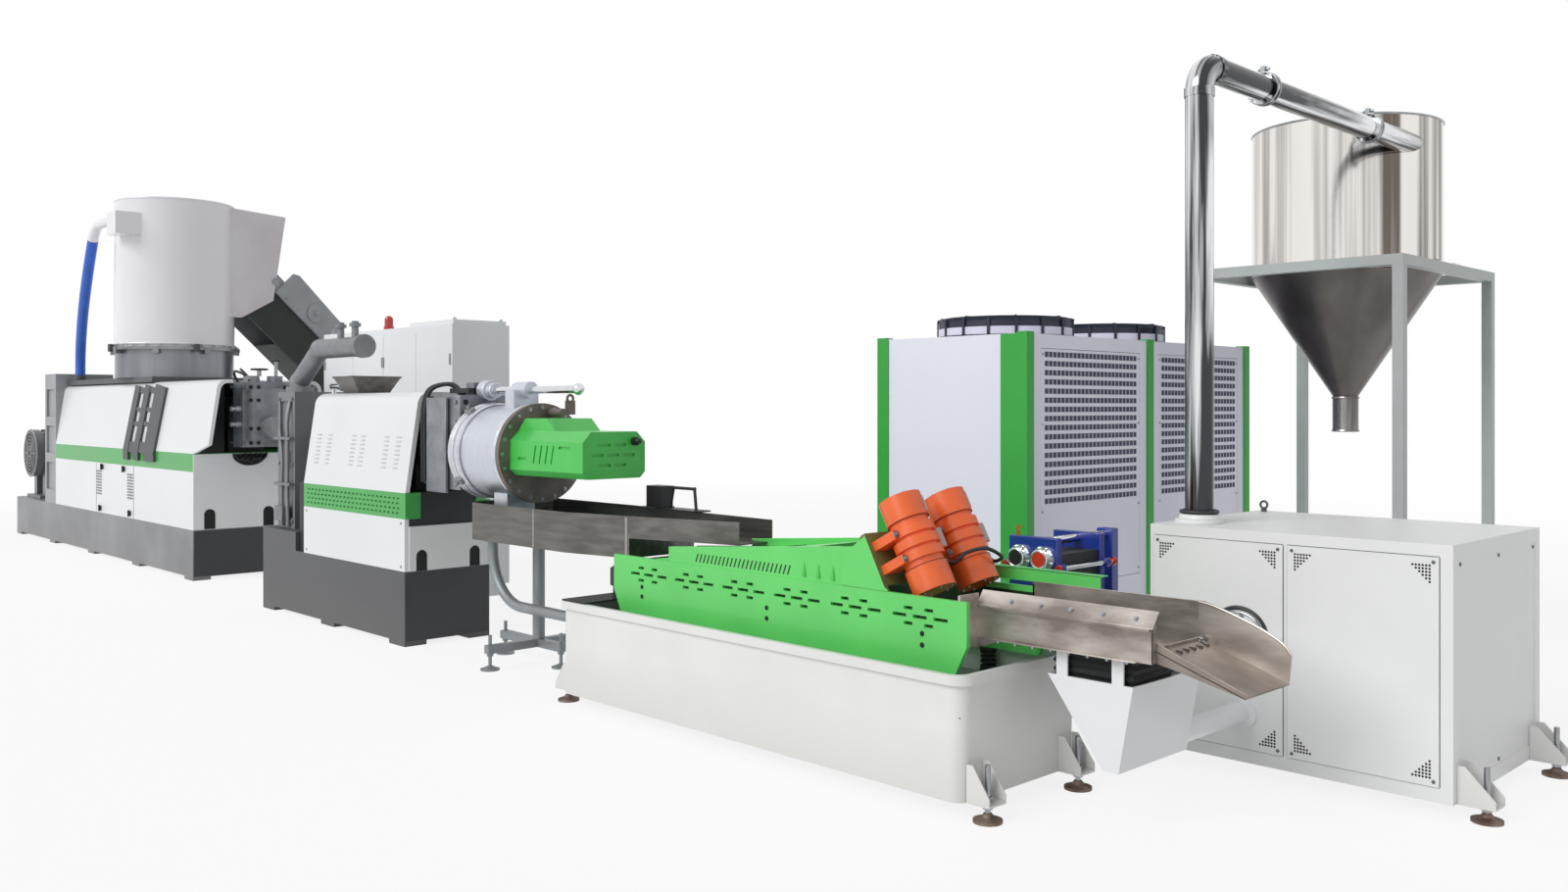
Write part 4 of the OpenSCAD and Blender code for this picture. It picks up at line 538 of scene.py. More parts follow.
# conveyor: dark guards, cleats, bearings, side boards at the head with the drive plate
conveyor = {"origin": (-4.44, -0.706, 2.985), "slope": -44, "cleats": 9, "cleatY": (0.25, 3.35),
            "cleatZ": (0.0952, 0.125), "cleatThick": 0.012, "ends": (0.0, 3.5), "bearing": 0.042}
boards = {"outline": ((0.08, -0.07), (0.08, 0.22), (0.14, 0.26), (0.86, 0.23), (0.98, 0.1), (0.98, -0.07)),
          "x": 0.3405, "sheet": 0.005, "plate": (0.57, 0.1), "plateRadius": 0.11, "plateThick": 0.014,
          "boltY": (0.22, 0.4, 0.8, 0.92), "boltZ": -0.03}
atBelt = turned(conveyor["origin"], math.radians(conveyor["slope"]), "X")
guardBm, cleatBm, bearingBm, boardBm = meshes(4)
addBox(guardBm, (-0.3, 0.5, -0.4775), (0.3, 2.0, -0.4762), atBelt)
cleatLow, cleatTop = conveyor["cleatZ"]
for y in spaced(*conveyor["cleatY"], conveyor["cleats"]):
    addBox(cleatBm, (-0.25, y, cleatLow), (0.25, y + conveyor["cleatThick"], cleatTop), atBelt)
for side in (-1, 1):
    out = Vector((side, 0, 0))
    addBox(guardBm, (side * 0.3112, 0.082, -0.474), (side * 0.3128, 2.008, -0.077), atBelt)
    for y in conveyor["ends"]:
        addBox(bearingBm, (side * 0.3405, y - 0.07, -0.06), (side * 0.362, y + 0.07, 0.06), atBelt)
        addRod(bearingBm, atBelt @ Vector((side * 0.36, y, 0)), out, 0.032, conveyor["bearing"])
        for dy in (-0.052, 0.052):
            for dz in (-0.042, 0.042):
                addBolt(bearingBm, atBelt @ Vector((side * 0.362, y + dy, dz)), out, 0.009, 0.012)
    outline = [atBelt @ Vector((side * boards["x"], y, z)) for y, z in boards["outline"]]
    addPrism(boardBm, outline, out * boards["sheet"])
    hub = Vector((side * (boards["x"] + boards["sheet"]), *boards["plate"]))
    addRod(boardBm, atBelt @ hub, out, boards["plateThick"], boards["plateRadius"], 40)
    addBolt(boardBm, atBelt @ (hub + out * boards["plateThick"]), out, 0.03, 0.02)
    for y in boards["boltY"]:
        addBolt(boardBm, atBelt @ Vector((hub.x, y, boards["boltZ"])), out, 0.012, 0.01)
makePiece("headBoards", boardBm, "conveyor", bevel=0.001)
makePiece("conveyorGuards", guardBm, "guard")
makePiece("beltCleats", cleatBm, "belt", bevel=0.004)
makePiece("beltBearings", bearingBm, "conveyor", bevel=0.003)
print("conveyor dressed")

# control cabinet: handles, hinges and lifting eyes
control = {"x": -1.9, "long": 2.44, "front": -1.12, "top": 2.29, "doors": 4, "edge": 0.02, "handleZ": 1.25,
           "handleIn": 0.07, "hingeIn": 0.012, "hingeZ": (0.4, 1.1, 1.95), "eyeX": (-1.81, 0.49),
           "eyeY": (-1.07, -0.63)}
handleBm, hingeBm, eyeBm = meshes(3)
front, low = control["front"], control["handleZ"]
doorWide = (control["long"] - 2 * control["edge"]) / control["doors"]
for k in range(control["doors"]):
    left = control["x"] + control["edge"] + k * doorWide
    right = left + doorWide
    x, hingeX = right - control["handleIn"], left + control["hingeIn"]
    if k % 2:
        x, hingeX = left + control["handleIn"], right - control["hingeIn"]
    addBox(handleBm, (x - 0.015, front - 0.012, low), (x + 0.015, front, low + 0.17))
    addBox(handleBm, (x - 0.009, front - 0.034, low + 0.02), (x + 0.009, front - 0.012, low + 0.15))
    for z in control["hingeZ"]:
        addRod(hingeBm, (hingeX, front - 0.006, z), "z", 0.09, 0.008, 12)
for x in control["eyeX"]:
    for y in control["eyeY"]:
        addRod(eyeBm, (x, y, control["top"] - 0.001), "z", 0.013, 0.016, 16)
        addRing(eyeBm, (x, y, control["top"] + 0.03), "y", 0.02, 0.006, 20)
makePiece("cabinetHandles", handleBm, "black", bevel=0.003)
makePiece("cabinetHinges", hingeBm, "zinc")
makePiece("cabinetEyes", eyeBm, "zinc")
print("control cabinet dressed")

# second extruder: cover louvres, screws, column conduits, feed rod and hopper rim
ext2 = {"front": -2.37, "coverZ": (1.025, 1.7), "lean": 0.1,
        "louvreX": (0.713, 0.895, 1.284, 1.43, 1.787, 1.96), "louvreZ": (0.155, 0.365), "louvreCount": 8,
        "louvreWide": 0.062, "louvreHigh": 0.016, "screwX": (0.6, 2.09), "screwZ": (0.53, 0.82)}
column2 = {
    "front": -2.27, "boltX": (-0.13, 0.11), "boltZ": (0.7, 1.15, 1.66), "clipZ": (0.98, 1.34),
    "conduits": ((0.016, ((0.06, -2.285, 0.66), (0.06, -2.292, 0.9), (0.06, -2.292, 1.3), (0.05, -2.288, 1.5),
                          (0.03, -2.24, 1.72))),
                 (0.012, ((-0.05, -2.285, 0.66), (-0.05, -2.29, 0.95), (-0.045, -2.29, 1.2),
                          (-0.1, -2.285, 1.42))))}
feedRod = {"y": -2.05, "z": 1.76, "rods": ((0.34, 0.45, 0.026), (0.52, 0.025, 0.04)),
           "prop": (0.36, 0.06, 0.018)}
louvreBm, screwBm, conduitBm, clipBm, feedBm, hopperBm = meshes(6)
coverLean = math.atan2(ext2["lean"], ext2["coverZ"][1] - ext2["coverZ"][0])
onCover = turned((0, ext2["front"], ext2["coverZ"][0]), -coverLean, "X")
for x in ext2["louvreX"]:
    for z in spaced(*ext2["louvreZ"], ext2["louvreCount"]):
        addLouvre(louvreBm, x, ext2["louvreWide"], 0.002, -0.007, z, ext2["louvreHigh"], onCover)
for x in ext2["screwX"]:
    for z in ext2["screwZ"]:
        addRod(screwBm, (x, ext2["front"] + 0.001, z), "-y", 0.005, 0.009, 16)
for radius, points in column2["conduits"]:
    sweep(conduitBm, smoothCurve(points), radius)
for z in column2["clipZ"]:
    addBox(clipBm, (-0.16, -2.312, z), (0.14, -2.271, z + 0.022))
addBox(clipBm, (-0.09, -2.33, 0.7), (0.05, -2.271, 0.82))
for x in column2["boltX"]:
    for z in column2["boltZ"]:
        addBolt(clipBm, (x, column2["front"], z), "-y", 0.012, 0.014)
for x, long, radius in feedRod["rods"]:
    addRod(feedBm, (x, feedRod["y"], feedRod["z"]), "x", long, radius)
x, high, radius = feedRod["prop"]
addRod(feedBm, (x, feedRod["y"], feedRod["z"] - high), "z", high, radius, 16)
low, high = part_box("feed_hopper")
rim = (low.x, low.y), (high.x, low.y), (high.x, high.y), (low.x, high.y)
sweep(hopperBm, [(x, y, high.z + 0.001) for x, y in rim], 0.007, 8, closed=True)
makePiece("ext2Louvres", louvreBm, "louvre")
makePiece("ext2Screws", screwBm, "zinc")
makePiece("columnConduits", conduitBm, "stand")
makePiece("columnClips", clipBm, "machine", bevel=0.003)
makePiece("feedRod", feedBm, "chrome")
makePiece("hopperRim", hopperBm, "steel")
print("second extruder dressed")

# screen changers: holes, bolts, posts with hand wheels, heater plate and tubes
changers = {
    "fronts": ({"y": -1.91, "x": (-2.12, -2.06, -1.86, -1.8), "z": (1.27, 1.78), "hole": 0.017,
                "bolt": 0.006},
               {"y": -2.25, "x": (2.2, 2.6), "z": (1.1, 1.22, 1.5, 1.63), "hole": 0.016, "bolt": 0.007}),
    "sides": ({"x": -1.76, "y": (-1.87, -1.8, -1.56, -1.49), "z": (1.27, 1.4, 1.66, 1.78), "hole": 0.019},
              {"x": 2.652, "y": (-2.21, -1.89), "z": (1.1, 1.2, 1.55, 1.63), "hole": 0.018}),
    "deep": 0.003, "plugX": -1.9, "plugZ": (1.44, 1.58),
    "posts": (((-2.0, -1.7, 1.885), 0.065, 0.02, 16), ((-1.86, -1.6, 1.885), 0.145, 0.016, 16),
              ((2.3, -2.02, 1.676), 0.044, 0.03, 20), ((2.47, -1.93, 1.676), 0.039, 0.024, 20)),
    "wheel": (-2.0, -1.7, 1.95), "wheelRadius": 0.07, "smallWheel": (-1.86, -1.6, 2.03), "smallRadius": 0.045,
    "wire": 0.006, "tubeX": (2.2, 2.235), "box": ((2.36, -2.16, 1.69), (2.6, -1.98, 1.722)),
    "tubes": ((0.012, ((-2.12, -1.85, 1.83), (-2.13, -1.88, 1.9), (-2.05, -1.9, 1.93), (-1.95, -1.86, 1.9),
                       (-1.93, -1.8, 1.84))),
              (0.011, ((-2.14, -1.7, 1.83), (-2.15, -1.78, 1.92), (-2.08, -1.84, 1.95), (-1.98, -1.83, 1.9),
                       (-1.9, -1.83, 1.84))))}
heater = {"x": (2.265, 2.52), "y": (-2.28, -2.26), "z": (1.04, 1.66), "blockX": (2.335, 2.405),
          "blockY": (-2.261, -2.25), "blockZ": ((1.2, 1.24), (1.5, 1.54))}
holeBm, fittingBm, tubeBm, heaterBm = meshes(4)
for face in changers["fronts"]:
    for x in face["x"]:
        for z in face["z"]:
            addRod(holeBm, (x, face["y"], z), "-y", changers["deep"], face["hole"], 18)
            addBolt(fittingBm, (x, face["y"] - changers["deep"], z), "-y", 0.009, face["bolt"])
for face in changers["sides"]:
    for y in face["y"]:
        for z in face["z"]:
            addRod(holeBm, (face["x"], y, z), "x", changers["deep"], face["hole"], 18)
x, y = changers["plugX"], changers["fronts"][0]["y"]
for z in changers["plugZ"]:
    addRod(fittingBm, (x, y, z), "-y", 0.05, 0.028)
    addRod(fittingBm, (x, y - 0.05, z), "-y", 0.03, 0.017, 16)
    addBolt(fittingBm, (x, y - 0.08, z), "-y", 0.02, 0.016)
for point, high, radius, sides in changers["posts"]:
    addRod(fittingBm, point, "z", high, radius, sides)
wheel, smallWheel, smallRadius = changers["wheel"], Vector(changers["smallWheel"]), changers["smallRadius"]
addRing(tubeBm, wheel, "z", changers["wheelRadius"], 0.009, 32)
for angle in turns(3):
    sweep(tubeBm, [wheel, onCircle(wheel, "z", changers["wheelRadius"], angle)], changers["wire"], 8)
addRing(tubeBm, smallWheel, "z", smallRadius, 0.008, 28)
bar = axes["x"] * smallRadius
sweep(tubeBm, [smallWheel - bar, smallWheel + bar], changers["wire"], 8)
for radius, points in changers["tubes"]:
    sweep(tubeBm, smoothCurve(points), radius, 10)
for x in changers["tubeX"]:
    points = [(x, -2.27, 1.1), (x, -2.272, 1.4), (x + 0.005, -2.27, 1.6), (x + 0.02, -2.23, 1.72),
              (x + 0.12, -2.14, 1.75), (x + 0.2, -2.1, 1.68)]
    sweep(tubeBm, smoothCurve(points), 0.014, 10)
addBox(tubeBm, *changers["box"])
addBox(heaterBm, *zip(heater["x"], heater["y"], heater["z"]))
for blockZ in heater["blockZ"]:
    addBox(heaterBm, *zip(heater["blockX"], heater["blockY"], blockZ))
makePiece("changerHeaterPlate", heaterBm, "changer", bevel=0.004)
makePiece("changerHoles", holeBm, "dark")
makePiece("changerFittings", fittingBm, "zinc")
makePiece("changerTubes", tubeBm, "black")
print("screen changers dressed")

# cutter head: chamber rings and clamps, disc bolts and lug, cable gland on the hood
cutter = {"y": -2.05, "z": 1.314, "radius": 0.304, "bolts": 20, "boltX": 3.295, "boltRadius": 0.282,
          "rings": ((2.7, 0.012), (2.735, 0.008), (2.79, 0.007), (2.81, 0.005), (3.235, 0.008)),
          "clamps": (0.6, 2.2, 3.8, 5.4), "lug": ((3.26, -1.86, 1.55), (3.29, -1.8, 1.64)),
          "eye": (3.275, -1.83, 1.652), "gland": (4.055, -1.92, 1.4)}
ringBm, boltBm, clampBm, lugBm, glandBm = meshes(5)
for x, size in cutter["rings"]:
    addRing(ringBm, (x, cutter["y"], cutter["z"]), "x", cutter["radius"] - 0.002, size, 64)
for angle in turns(cutter["bolts"]):
    point = onCircle((cutter["boltX"], cutter["y"], cutter["z"]), "x", cutter["boltRadius"], angle)
    addBolt(boltBm, point, "x", 0.009, 0.011)
for angle in cutter["clamps"]:
    atClamp = turned((0, cutter["y"], cutter["z"]), angle, "X")
    addBox(clampBm, (2.7, -0.02, 0.3), (2.78, 0.02, 0.33), atClamp)
    addCylinder(clampBm, atClamp @ Vector((2.74, 0, 0.32)), atClamp @ Vector((2.74, 0, 0.35)), 0.012, 16)
addBox(lugBm, *cutter["lug"])
addRing(lugBm, cutter["eye"], "x", 0.022, 0.009, 24)
addRod(glandBm, cutter["gland"], "x", 0.03, 0.024, 18)
addRod(glandBm, Vector(cutter["gland"]) + axes["x"] * 0.03, "x", 0.025, 0.019, 18, 0.014)
makePiece("chamberRings", ringBm, "alloyBright", body="cutter_head")
makePiece("discBolts", boltBm, "zinc", body="cutter_head")
makePiece("chamberClamps", clampBm, "stand", body="cutter_head", bevel=0.003)
makePiece("discLug", lugBm, "disc", body="cutter_head", bevel=0.002)
makePiece("hoodGland", glandBm, "black", body="cutter_head")
print("cutter head dressed")

# end plates: dark behind the lifting slots, cable bundle over the first one, painted shade inside its cover's
# open end
slots = ({"x": -2.1898, "y": (-2.082, -1.538), "z": 0.466, "wide": 0.1, "high": 0.186},
         {"x": 2.1402, "y": (-2.25, -1.85), "z": 0.5, "wide": 0.079, "high": 0.137})
bundle = {"x": -2.177, "y": -1.72, "z": 1.158, "radius": 0.16, "flat": 0.7, "cableY": (-1.82, -1.62),
          "cables": 5}
shadeOutline = ((-2.188, -2.195, 1.172), (-2.188, -1.95, 1.172), (-2.188, -1.95, 1.78), (-2.188, -2.03, 1.78))
slotBm, mouthBm, cableBm, shadeOutlineBm = meshes(4)
for slot in slots:
    half = slot["wide"] / 2
    for y in slot["y"]:
        outline = [(slot["x"], y - half, slot["z"] + 0.002), (slot["x"], y + half, slot["z"] + 0.002)]
        top = (slot["x"], y, slot["z"] + slot["high"] - half)
        outline += [onCircle(top, "x", half, angle) for angle in spaced(0, math.pi, 13)]
        addPrism(slotBm, outline, (0.002, 0, 0))
addPrism(mouthBm, [(bundle["x"], bundle["y"] + bundle["radius"] * math.cos(angle),
                    bundle["z"] + bundle["flat"] * bundle["radius"] * math.sin(angle))
                   for angle in spaced(math.pi, 2 * math.pi, 21)], (0.004, 0, 0))
for k, y in enumerate(spaced(*bundle["cableY"], bundle["cables"])):
    sweep(cableBm, smoothCurve([(-2.172, y - 0.04, 1.15), (-2.15, y - 0.01, 1.11 - 0.012 * (k % 3)),
                                (-2.145, y + 0.03, 1.12), (-2.172, y + 0.06, 1.155)]), 0.011, 8)
# dark sheet inside the open end of the first extruder's cover: painted shade
addPrism(shadeOutlineBm, shadeOutline, (0.004, 0, 0))
makePiece("liftingSlotShade", slotBm, "dark")
makePiece("cableMouth", mouthBm, "dark")
makePiece("cableBundle", cableBm, "black")
makePiece("coverEndShade", shadeOutlineBm, "dark")
print("end plates dressed")

# guide rod collar, beads on the trough's bends coloured lighter as painted highlights, still water in the
# trough and in the tank
collar = {"y": -2.05, "z": 1.705, "steps": ((2.62, 0.08, 0.066), (2.7, 0.06, 0.05))}
trough = {"bendHighlightZ": (0.776, 0.994), "bendHighlights": ((3.58, -2.2815), (4.36, -2.1915)), "bendHighlightRadius": 0.02,
          "water": 0.9,
          "outline": ((2.815, -2.2), (2.905, -2.288), (3.7, -2.288), (4.5, -2.17), (4.5, -1.77),
                      (3.7, -1.712), (2.905, -1.712), (2.815, -1.8))}
tankWater = ((4.26, -2.535, 0.396), (6.93, -1.765, 0.4))
collarBm, bandBm, waterBm, tankWaterBm = meshes(4)
for x, long, radius in collar["steps"]:
    addRod(collarBm, (x, collar["y"], collar["z"]), "x", long, radius, 40)
# half-round beads on the trough's two bends, lighter than the trough: painted highlights
for place in trough["bendHighlights"]:
    addCylinder(bandBm, (*place, trough["bendHighlightZ"][0]), (*place, trough["bendHighlightZ"][1]), trough["bendHighlightRadius"], 32)
addPrism(waterBm, [(x, y, trough["water"]) for x, y in trough["outline"]], (0, 0, -0.004))
addBox(tankWaterBm, *tankWater)
makePiece("rodCollar", collarBm, "alloy", bevel=0.004)
makePiece("troughBendHighlights", bandBm, "bendHighlight")
makePiece("troughWater", waterBm, "water")
makePiece("tankWater", tankWaterBm, "water")
print("water laid")

# vibrating screen: sloping deck with sieve slots
sieve = {"x": (4.62, 5.4), "y": (-2.33, -1.86), "rows": 12, "columns": 24, "low": 0.76, "rise": 0.18,
         "run": 1.39, "start": 4.5, "top": 0.017, "deckY": -2.369, "deckWide": 0.548,
         "ribY": (-2.36, -1.835), "deck": ((4.52, 0.76), (5.89, 0.94), (5.89, 0.96), (4.52, 0.78)),
         "rib": ((4.6, 0.74), (5.85, 0.9), (5.85, 0.936), (4.6, 0.772))}
sieveBm, deckBm = meshes(2)
grade = math.atan2(sieve["rise"], sieve["run"])
for x in spaced(*sieve["x"], sieve["columns"]):
    z = sieve["low"] + (x - sieve["start"]) * math.tan(grade) + sieve["top"]
    for y in spaced(*sieve["y"], sieve["rows"]):
        addBox(sieveBm, (-0.004, -0.015, 0), (0.004, 0.015, 0.0045), turned((x, y, z), -grade, "Y"))
addPrism(deckBm, [(x, sieve["deckY"], z) for x, z in sieve["deck"]], (0, sieve["deckWide"], 0))
for y in sieve["ribY"]:
    addPrism(deckBm, [(x, y, z) for x, z in sieve["rib"]], (0, 0.005, 0))
makePiece("sieveSlots", sieveBm, "dark")
deckPiece = makePiece("sieveDeck", deckBm, "green")
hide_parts("screen_deck")

# raised side guards with slanted slots and drip louvres, shades behind the panel slots, far rail, plugs
guard = {"outline": ((4.957, 0.819), (6.163, 0.819), (6.163, 0.99), (4.957, 0.894)), "y": (-2.386, -1.816),
         "cheek": ((6.165, 0.822), (6.44, 0.822), (6.415, 0.84), (6.304, 1.046), (6.232, 0.996),
                   (6.165, 0.99)), "cheekY": (-2.3945, -1.7995), "slotX": (5.18, 5.83), "slots": 24,
         "slotZ": 0.856, "slotHalf": 0.023, "slant": 22, "louvres": (6.02, 6.11, 5.93),
         "louvreZ": (0.84, 0.06),
         "shades": (((4.56, -2.3697, 0.69), (6.8, -2.3685, 0.795)),
                    ((4.56, -1.8215, 0.69), (6.78, -1.8203, 0.795))),
         "rails": (((6.42, -1.7995, 0.838), (7.09, -1.7955, 0.892)),
                   ((6.42, -1.7995, 0.888), (7.09, -1.74, 0.892))),
         "railBolts": ((6.5, -1.7955, 0.862), (6.7, -1.7955, 0.862)), "plugY": -2.39,
         "plugs": ((4.743, 0.669), (4.743, 0.619), (5.686, 0.668), (5.686, 0.619), (6.621, 0.668),
                   (6.621, 0.621))}
guardBm, slotBm, louvreBm, shadeBm, railBm, plugBm = meshes(6)
for y in guard["y"]:
    addPrism(guardBm, [(x, y, z) for x, z in guard["outline"]], (0, 0.012, 0))
for y in guard["cheekY"]:
    addPrism(guardBm, [(x, y, z) for x, z in guard["cheek"]], (0, 0.004, 0))
for x in spaced(*guard["slotX"], guard["slots"]):
    addBox(slotBm, (-0.0035, -0.0015, -guard["slotHalf"]), (0.0035, 0.0, guard["slotHalf"]),
           turned((x, guard["y"][0], guard["slotZ"]), math.radians(guard["slant"]), "Y"))
for x in guard["louvres"]:
    addRod(louvreBm, (x, guard["y"][0], guard["louvreZ"][0]), "z", guard["louvreZ"][1], 0.013, 20, 0.002)
for corners in guard["shades"]:
    addBox(shadeBm, *corners)
for corners in guard["rails"]:
    addBox(railBm, *corners)
for point in guard["railBolts"]:
    addBolt(railBm, point, "y", 0.01, 0.008)
for x, z in guard["plugs"]:
    addRod(plugBm, (x, guard["plugY"], z), "-y", 0.0025, 0.012, 6)
makePiece("screenGuards", guardBm, "green", bevel=0.0015)
makePiece("guardSlots", slotBm, "greenDeep")
makePiece("guardLouvres", louvreBm, "hoodGreen")
makePiece("slotShades", shadeBm, "greenDeep")
makePiece("screenFarRail", railBm, "green", bevel=0.002)
makePiece("panelPlugs", plugBm, "dark")

# shaker motors: bolts, grooves, terminal covers and the lead between them
shaker = {"x": 6.355, "z": 0.95, "y": (-2.245, -1.945), "tilt": -28, "out": 0.132, "radius": 0.095,
          "half": 0.215, "earY": 0.109, "earZ": 0.055, "capBolts": 6, "capRadius": 0.075,
          "grooves": ((0.105, 0.0935), (0.214, 0.088)), "gland": (0.15, 0.1, -0.04),
          "leadStart": (0.15, 0.1, -0.07), "leadRadius": 0.0085,
          "nearLead": ((0.15, 0.1, -0.07), (0.19, 0.115, -0.12), (0.245, 0.15, -0.1)),
          "farLead": ((0.27, -0.04, -0.1), (0.25, 0.07, -0.14), (0.17, 0.11, -0.13), (0.15, 0.1, -0.07))}
boltBm, coverBm, leadBm, grooveBm = meshes(4)
leadPoints = []
for y, lead in zip(shaker["y"], (shaker["nearLead"], shaker["farLead"])):
    atMotor = turned((shaker["x"], y, shaker["z"]), math.radians(shaker["tilt"]), "Y")
    turn = atMotor.to_3x3()
    for end in (-1, 1):
        for ear in (-shaker["earY"], shaker["earY"]):
            point = atMotor @ Vector((shaker["out"] + 0.0005, ear, end * shaker["earZ"]))
            addBolt(boltBm, point, turn @ axes["x"], 0.011, 0.012)
        for angle in turns(shaker["capBolts"], 0.5):
            point = onCircle((shaker["out"], 0, end * shaker["half"]), "z", shaker["capRadius"], angle)
            addBolt(boltBm, atMotor @ point, turn @ (axes["z"] * end), 0.006, 0.006)
        for z, radius in shaker["grooves"]:
            point = atMotor @ Vector((shaker["out"], 0, end * z))
            addRing(grooveBm, point, turn @ axes["z"], radius, 0.003, 48, 6)
    addBox(coverBm, (0.182, 0.079, -0.036), (0.1845, 0.126, 0.046), atMotor)
    addBox(coverBm, (0.116, 0.1301, -0.036), (0.178, 0.1325, 0.046), atMotor)
    atPlate = atMotor @ turned((shaker["out"], 0, 0.155), 0.75, "Z")
    radius = shaker["radius"]
    addBox(coverBm, (radius - 0.005, -0.027, -0.036), (radius + 0.002, 0.027, 0.036), atPlate)
    addCylinder(leadBm, atMotor @ Vector(shaker["gland"]), atMotor @ Vector(shaker["leadStart"]), 0.014, 16)
    leadPoints += [atMotor @ Vector(p) for p in lead]
sweep(leadBm, smoothCurve(leadPoints, 10), shaker["leadRadius"], 10)
makePiece("shakerBolts", boltBm, "zinc")
makePiece("shakerGrooves", grooveBm, "orangeDark")
makePiece("terminalCovers", coverBm, "pale", bevel=0.001)
makePiece("shakerLead", leadBm, "black")
print("screen dressed")

# discharge trough: folded sheet with a slanting near rim, floor with a hole, bolted lips
discharge = {"x": (6.79, 7.59), "near": -2.25, "far": -1.85, "top": 0.85, "low": 0.66, "sheet": 0.006,
             "fold": 0.79, "slant": 0.045, "hole": ((7.15, -2.19), (7.446, -1.91)),
             "startY": (-2.37, -1.82), "startZ": (0.62, 0.84), "startThick": 0.01, "beadZ": (0.778, 0.79),
             "lip": 0.024, "lipBolts": (6.91, 7.491, 8), "rimBolts": (6.95, 7.51, 5)}
spout = {"near": -2.2225, "far": -1.8775, "x": (7.575, 7.93), "floor": (0.712, 0.59), "sill": 0.72,
         "nearSill": 0.8,
         "farTop": ((7.575, 0.85), (7.65, 0.836), (7.8, 0.785), (7.9, 0.735), (7.94, 0.69)),
         "nearTop": ((7.575, 0.742), (7.7, 0.69), (7.94, 0.598)), "nearKnee": (7.686, 0.642),
         "slotIn": 0.05, "slots": 6, "slotPitch": 0.05}
sheetBm, boltBm, darkBm, spoutBm = meshes(4)
(x0, x1), near, far = discharge["x"], discharge["near"], discharge["far"]
low, top, fold, thick = discharge["low"], discharge["top"], discharge["fold"], discharge["sheet"]
rim = near + discharge["slant"]
addPrism(sheetBm, [(x0, near, low), (x0, near, fold), (x0, rim, top), (x0, rim + thick, top - 0.004),
                   (x0, near + thick, fold - 0.002), (x0, near + thick, low)], (x1 - x0, 0, 0))
addBox(sheetBm, (x0, far - thick, low), (x1, far, top))
(hx0, hy0), (hx1, hy1) = discharge["hole"]
for xs, ys in (((x0, hx0), (near, far)), ((hx1, x1), (near, far)),
               ((hx0, hx1), (near, hy0)), ((hx0, hx1), (hy1, far))):
    addBox(sheetBm, (xs[0], ys[0] + 0.001, low), (xs[1], ys[1] - 0.001, low + thick))
startNear, startFar = discharge["startY"]
startLow, startTop = discharge["startZ"]
for y0, y1, z in ((startNear, near + thick, startTop), (far - thick, startFar, startTop),
                  (near, far, low + thick)):
    addBox(sheetBm, (x0, y0, startLow), (x0 + discharge["startThick"], y1, z))
beadLow, beadTop = discharge["beadZ"]
for y, side in ((near, -1), (far, 1)):
    addBox(sheetBm, (x0 + 0.07, y, beadLow), (x1 - 0.01, y + side * 0.008, beadTop))
    addBox(sheetBm, (x0 + 0.07, y, low), (x1 - 0.06, y + side * discharge["lip"], low + 0.005))
    for x in spaced(*discharge["lipBolts"]):
        addBolt(boltBm, (x, y + side * 0.014, low), "-z", 0.006, 0.009)
for x in spaced(*discharge["rimBolts"]):
    addBolt(boltBm, (x, near + 0.02, 0.819), (0, -0.8, 0.6), 0.007, 0.006)

# end sheet across the trough, then the spout's floor, its low near side and high far side
spoutNear, spoutFar, sill = spout["near"], spout["far"], spout["sill"]
for part in (((near, low), (near, fold), (spoutNear, spout["nearSill"]), (spoutNear, low)),
             ((spoutFar, low), (spoutFar, top), (far, top), (far, low)),
             ((spoutNear, low), (spoutNear, sill), (spoutFar, sill), (spoutFar, low))):
    addPrism(sheetBm, [(x1, y, z) for y, z in part], (-thick, 0, 0))
(fx0, fx1), (fz0, fz1) = spout["x"], spout["floor"]
floorEnds = ((fx0, fz0), (fx1, fz1), (fx1, fz1 - thick), (fx0, fz0 - thick))
addPrism(spoutBm, [(x, spoutNear, z) for x, z in floorEnds], (0, spoutFar - spoutNear, 0))
farSide = ((fx0, fz0 - thick), (fx1, fz1 - thick), *reversed(spout["farTop"]))
addPrism(sheetBm, [(x, spoutFar, z) for x, z in farSide], (0, -thick, 0))
nearSide = ((fx0, low + 0.004), spout["nearKnee"], (fx1 + 0.004, fz1 - thick), *reversed(spout["nearTop"]))
addPrism(spoutBm, [(x, spoutNear, z) for x, z in nearSide], (0, thick, 0))
sweep(sheetBm, smoothCurve([(x, spoutFar - 0.002, z) for x, z in spout["farTop"]], 6), 0.006, 8)
sweep(spoutBm, smoothCurve([(x, spoutNear + 0.003, z) for x, z in spout["nearTop"]], 6), 0.004, 8)
x, z = fx0 + spout["slotIn"], fz0 + (fz1 - fz0) * spout["slotIn"] / (fx1 - fx0)
for k in range(spout["slots"]):
    y = spoutNear + spout["slotPitch"] * (k + 1)
    addBox(darkBm, (x - 0.014, y - 0.004, z - 0.006), (x + 0.014, y + 0.004, z + 0.0062))
addBolt(boltBm, (fx0 + 0.02, spoutFar - 0.03, fz0 - 0.006), (0.33, 0, 0.94), 0.01, 0.012)
dischargePiece = makePiece("dischargeSheets", sheetBm, "worn", bevel=0.0012)
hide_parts("discharge_trough")
makePiece("spoutFloor", spoutBm, "spoutDarkerSteel", bevel=0.0012)
makePiece("dischargeBolts", boltBm, "zinc")
makePiece("spoutSlots", darkBm, "slotBrown")
print("discharge dressed")

# levelling feet: white brackets with two gussets, steel studs on brown pads
feet = {"thick": 0.01, "gusset": 0.15, "gussetThick": 0.008, "toe": 0.035, "half": 0.055, "pad": 0.058,
        "stud": 0.011, "rise": 0.15, "threads": (0.034, 0.138, 14)}
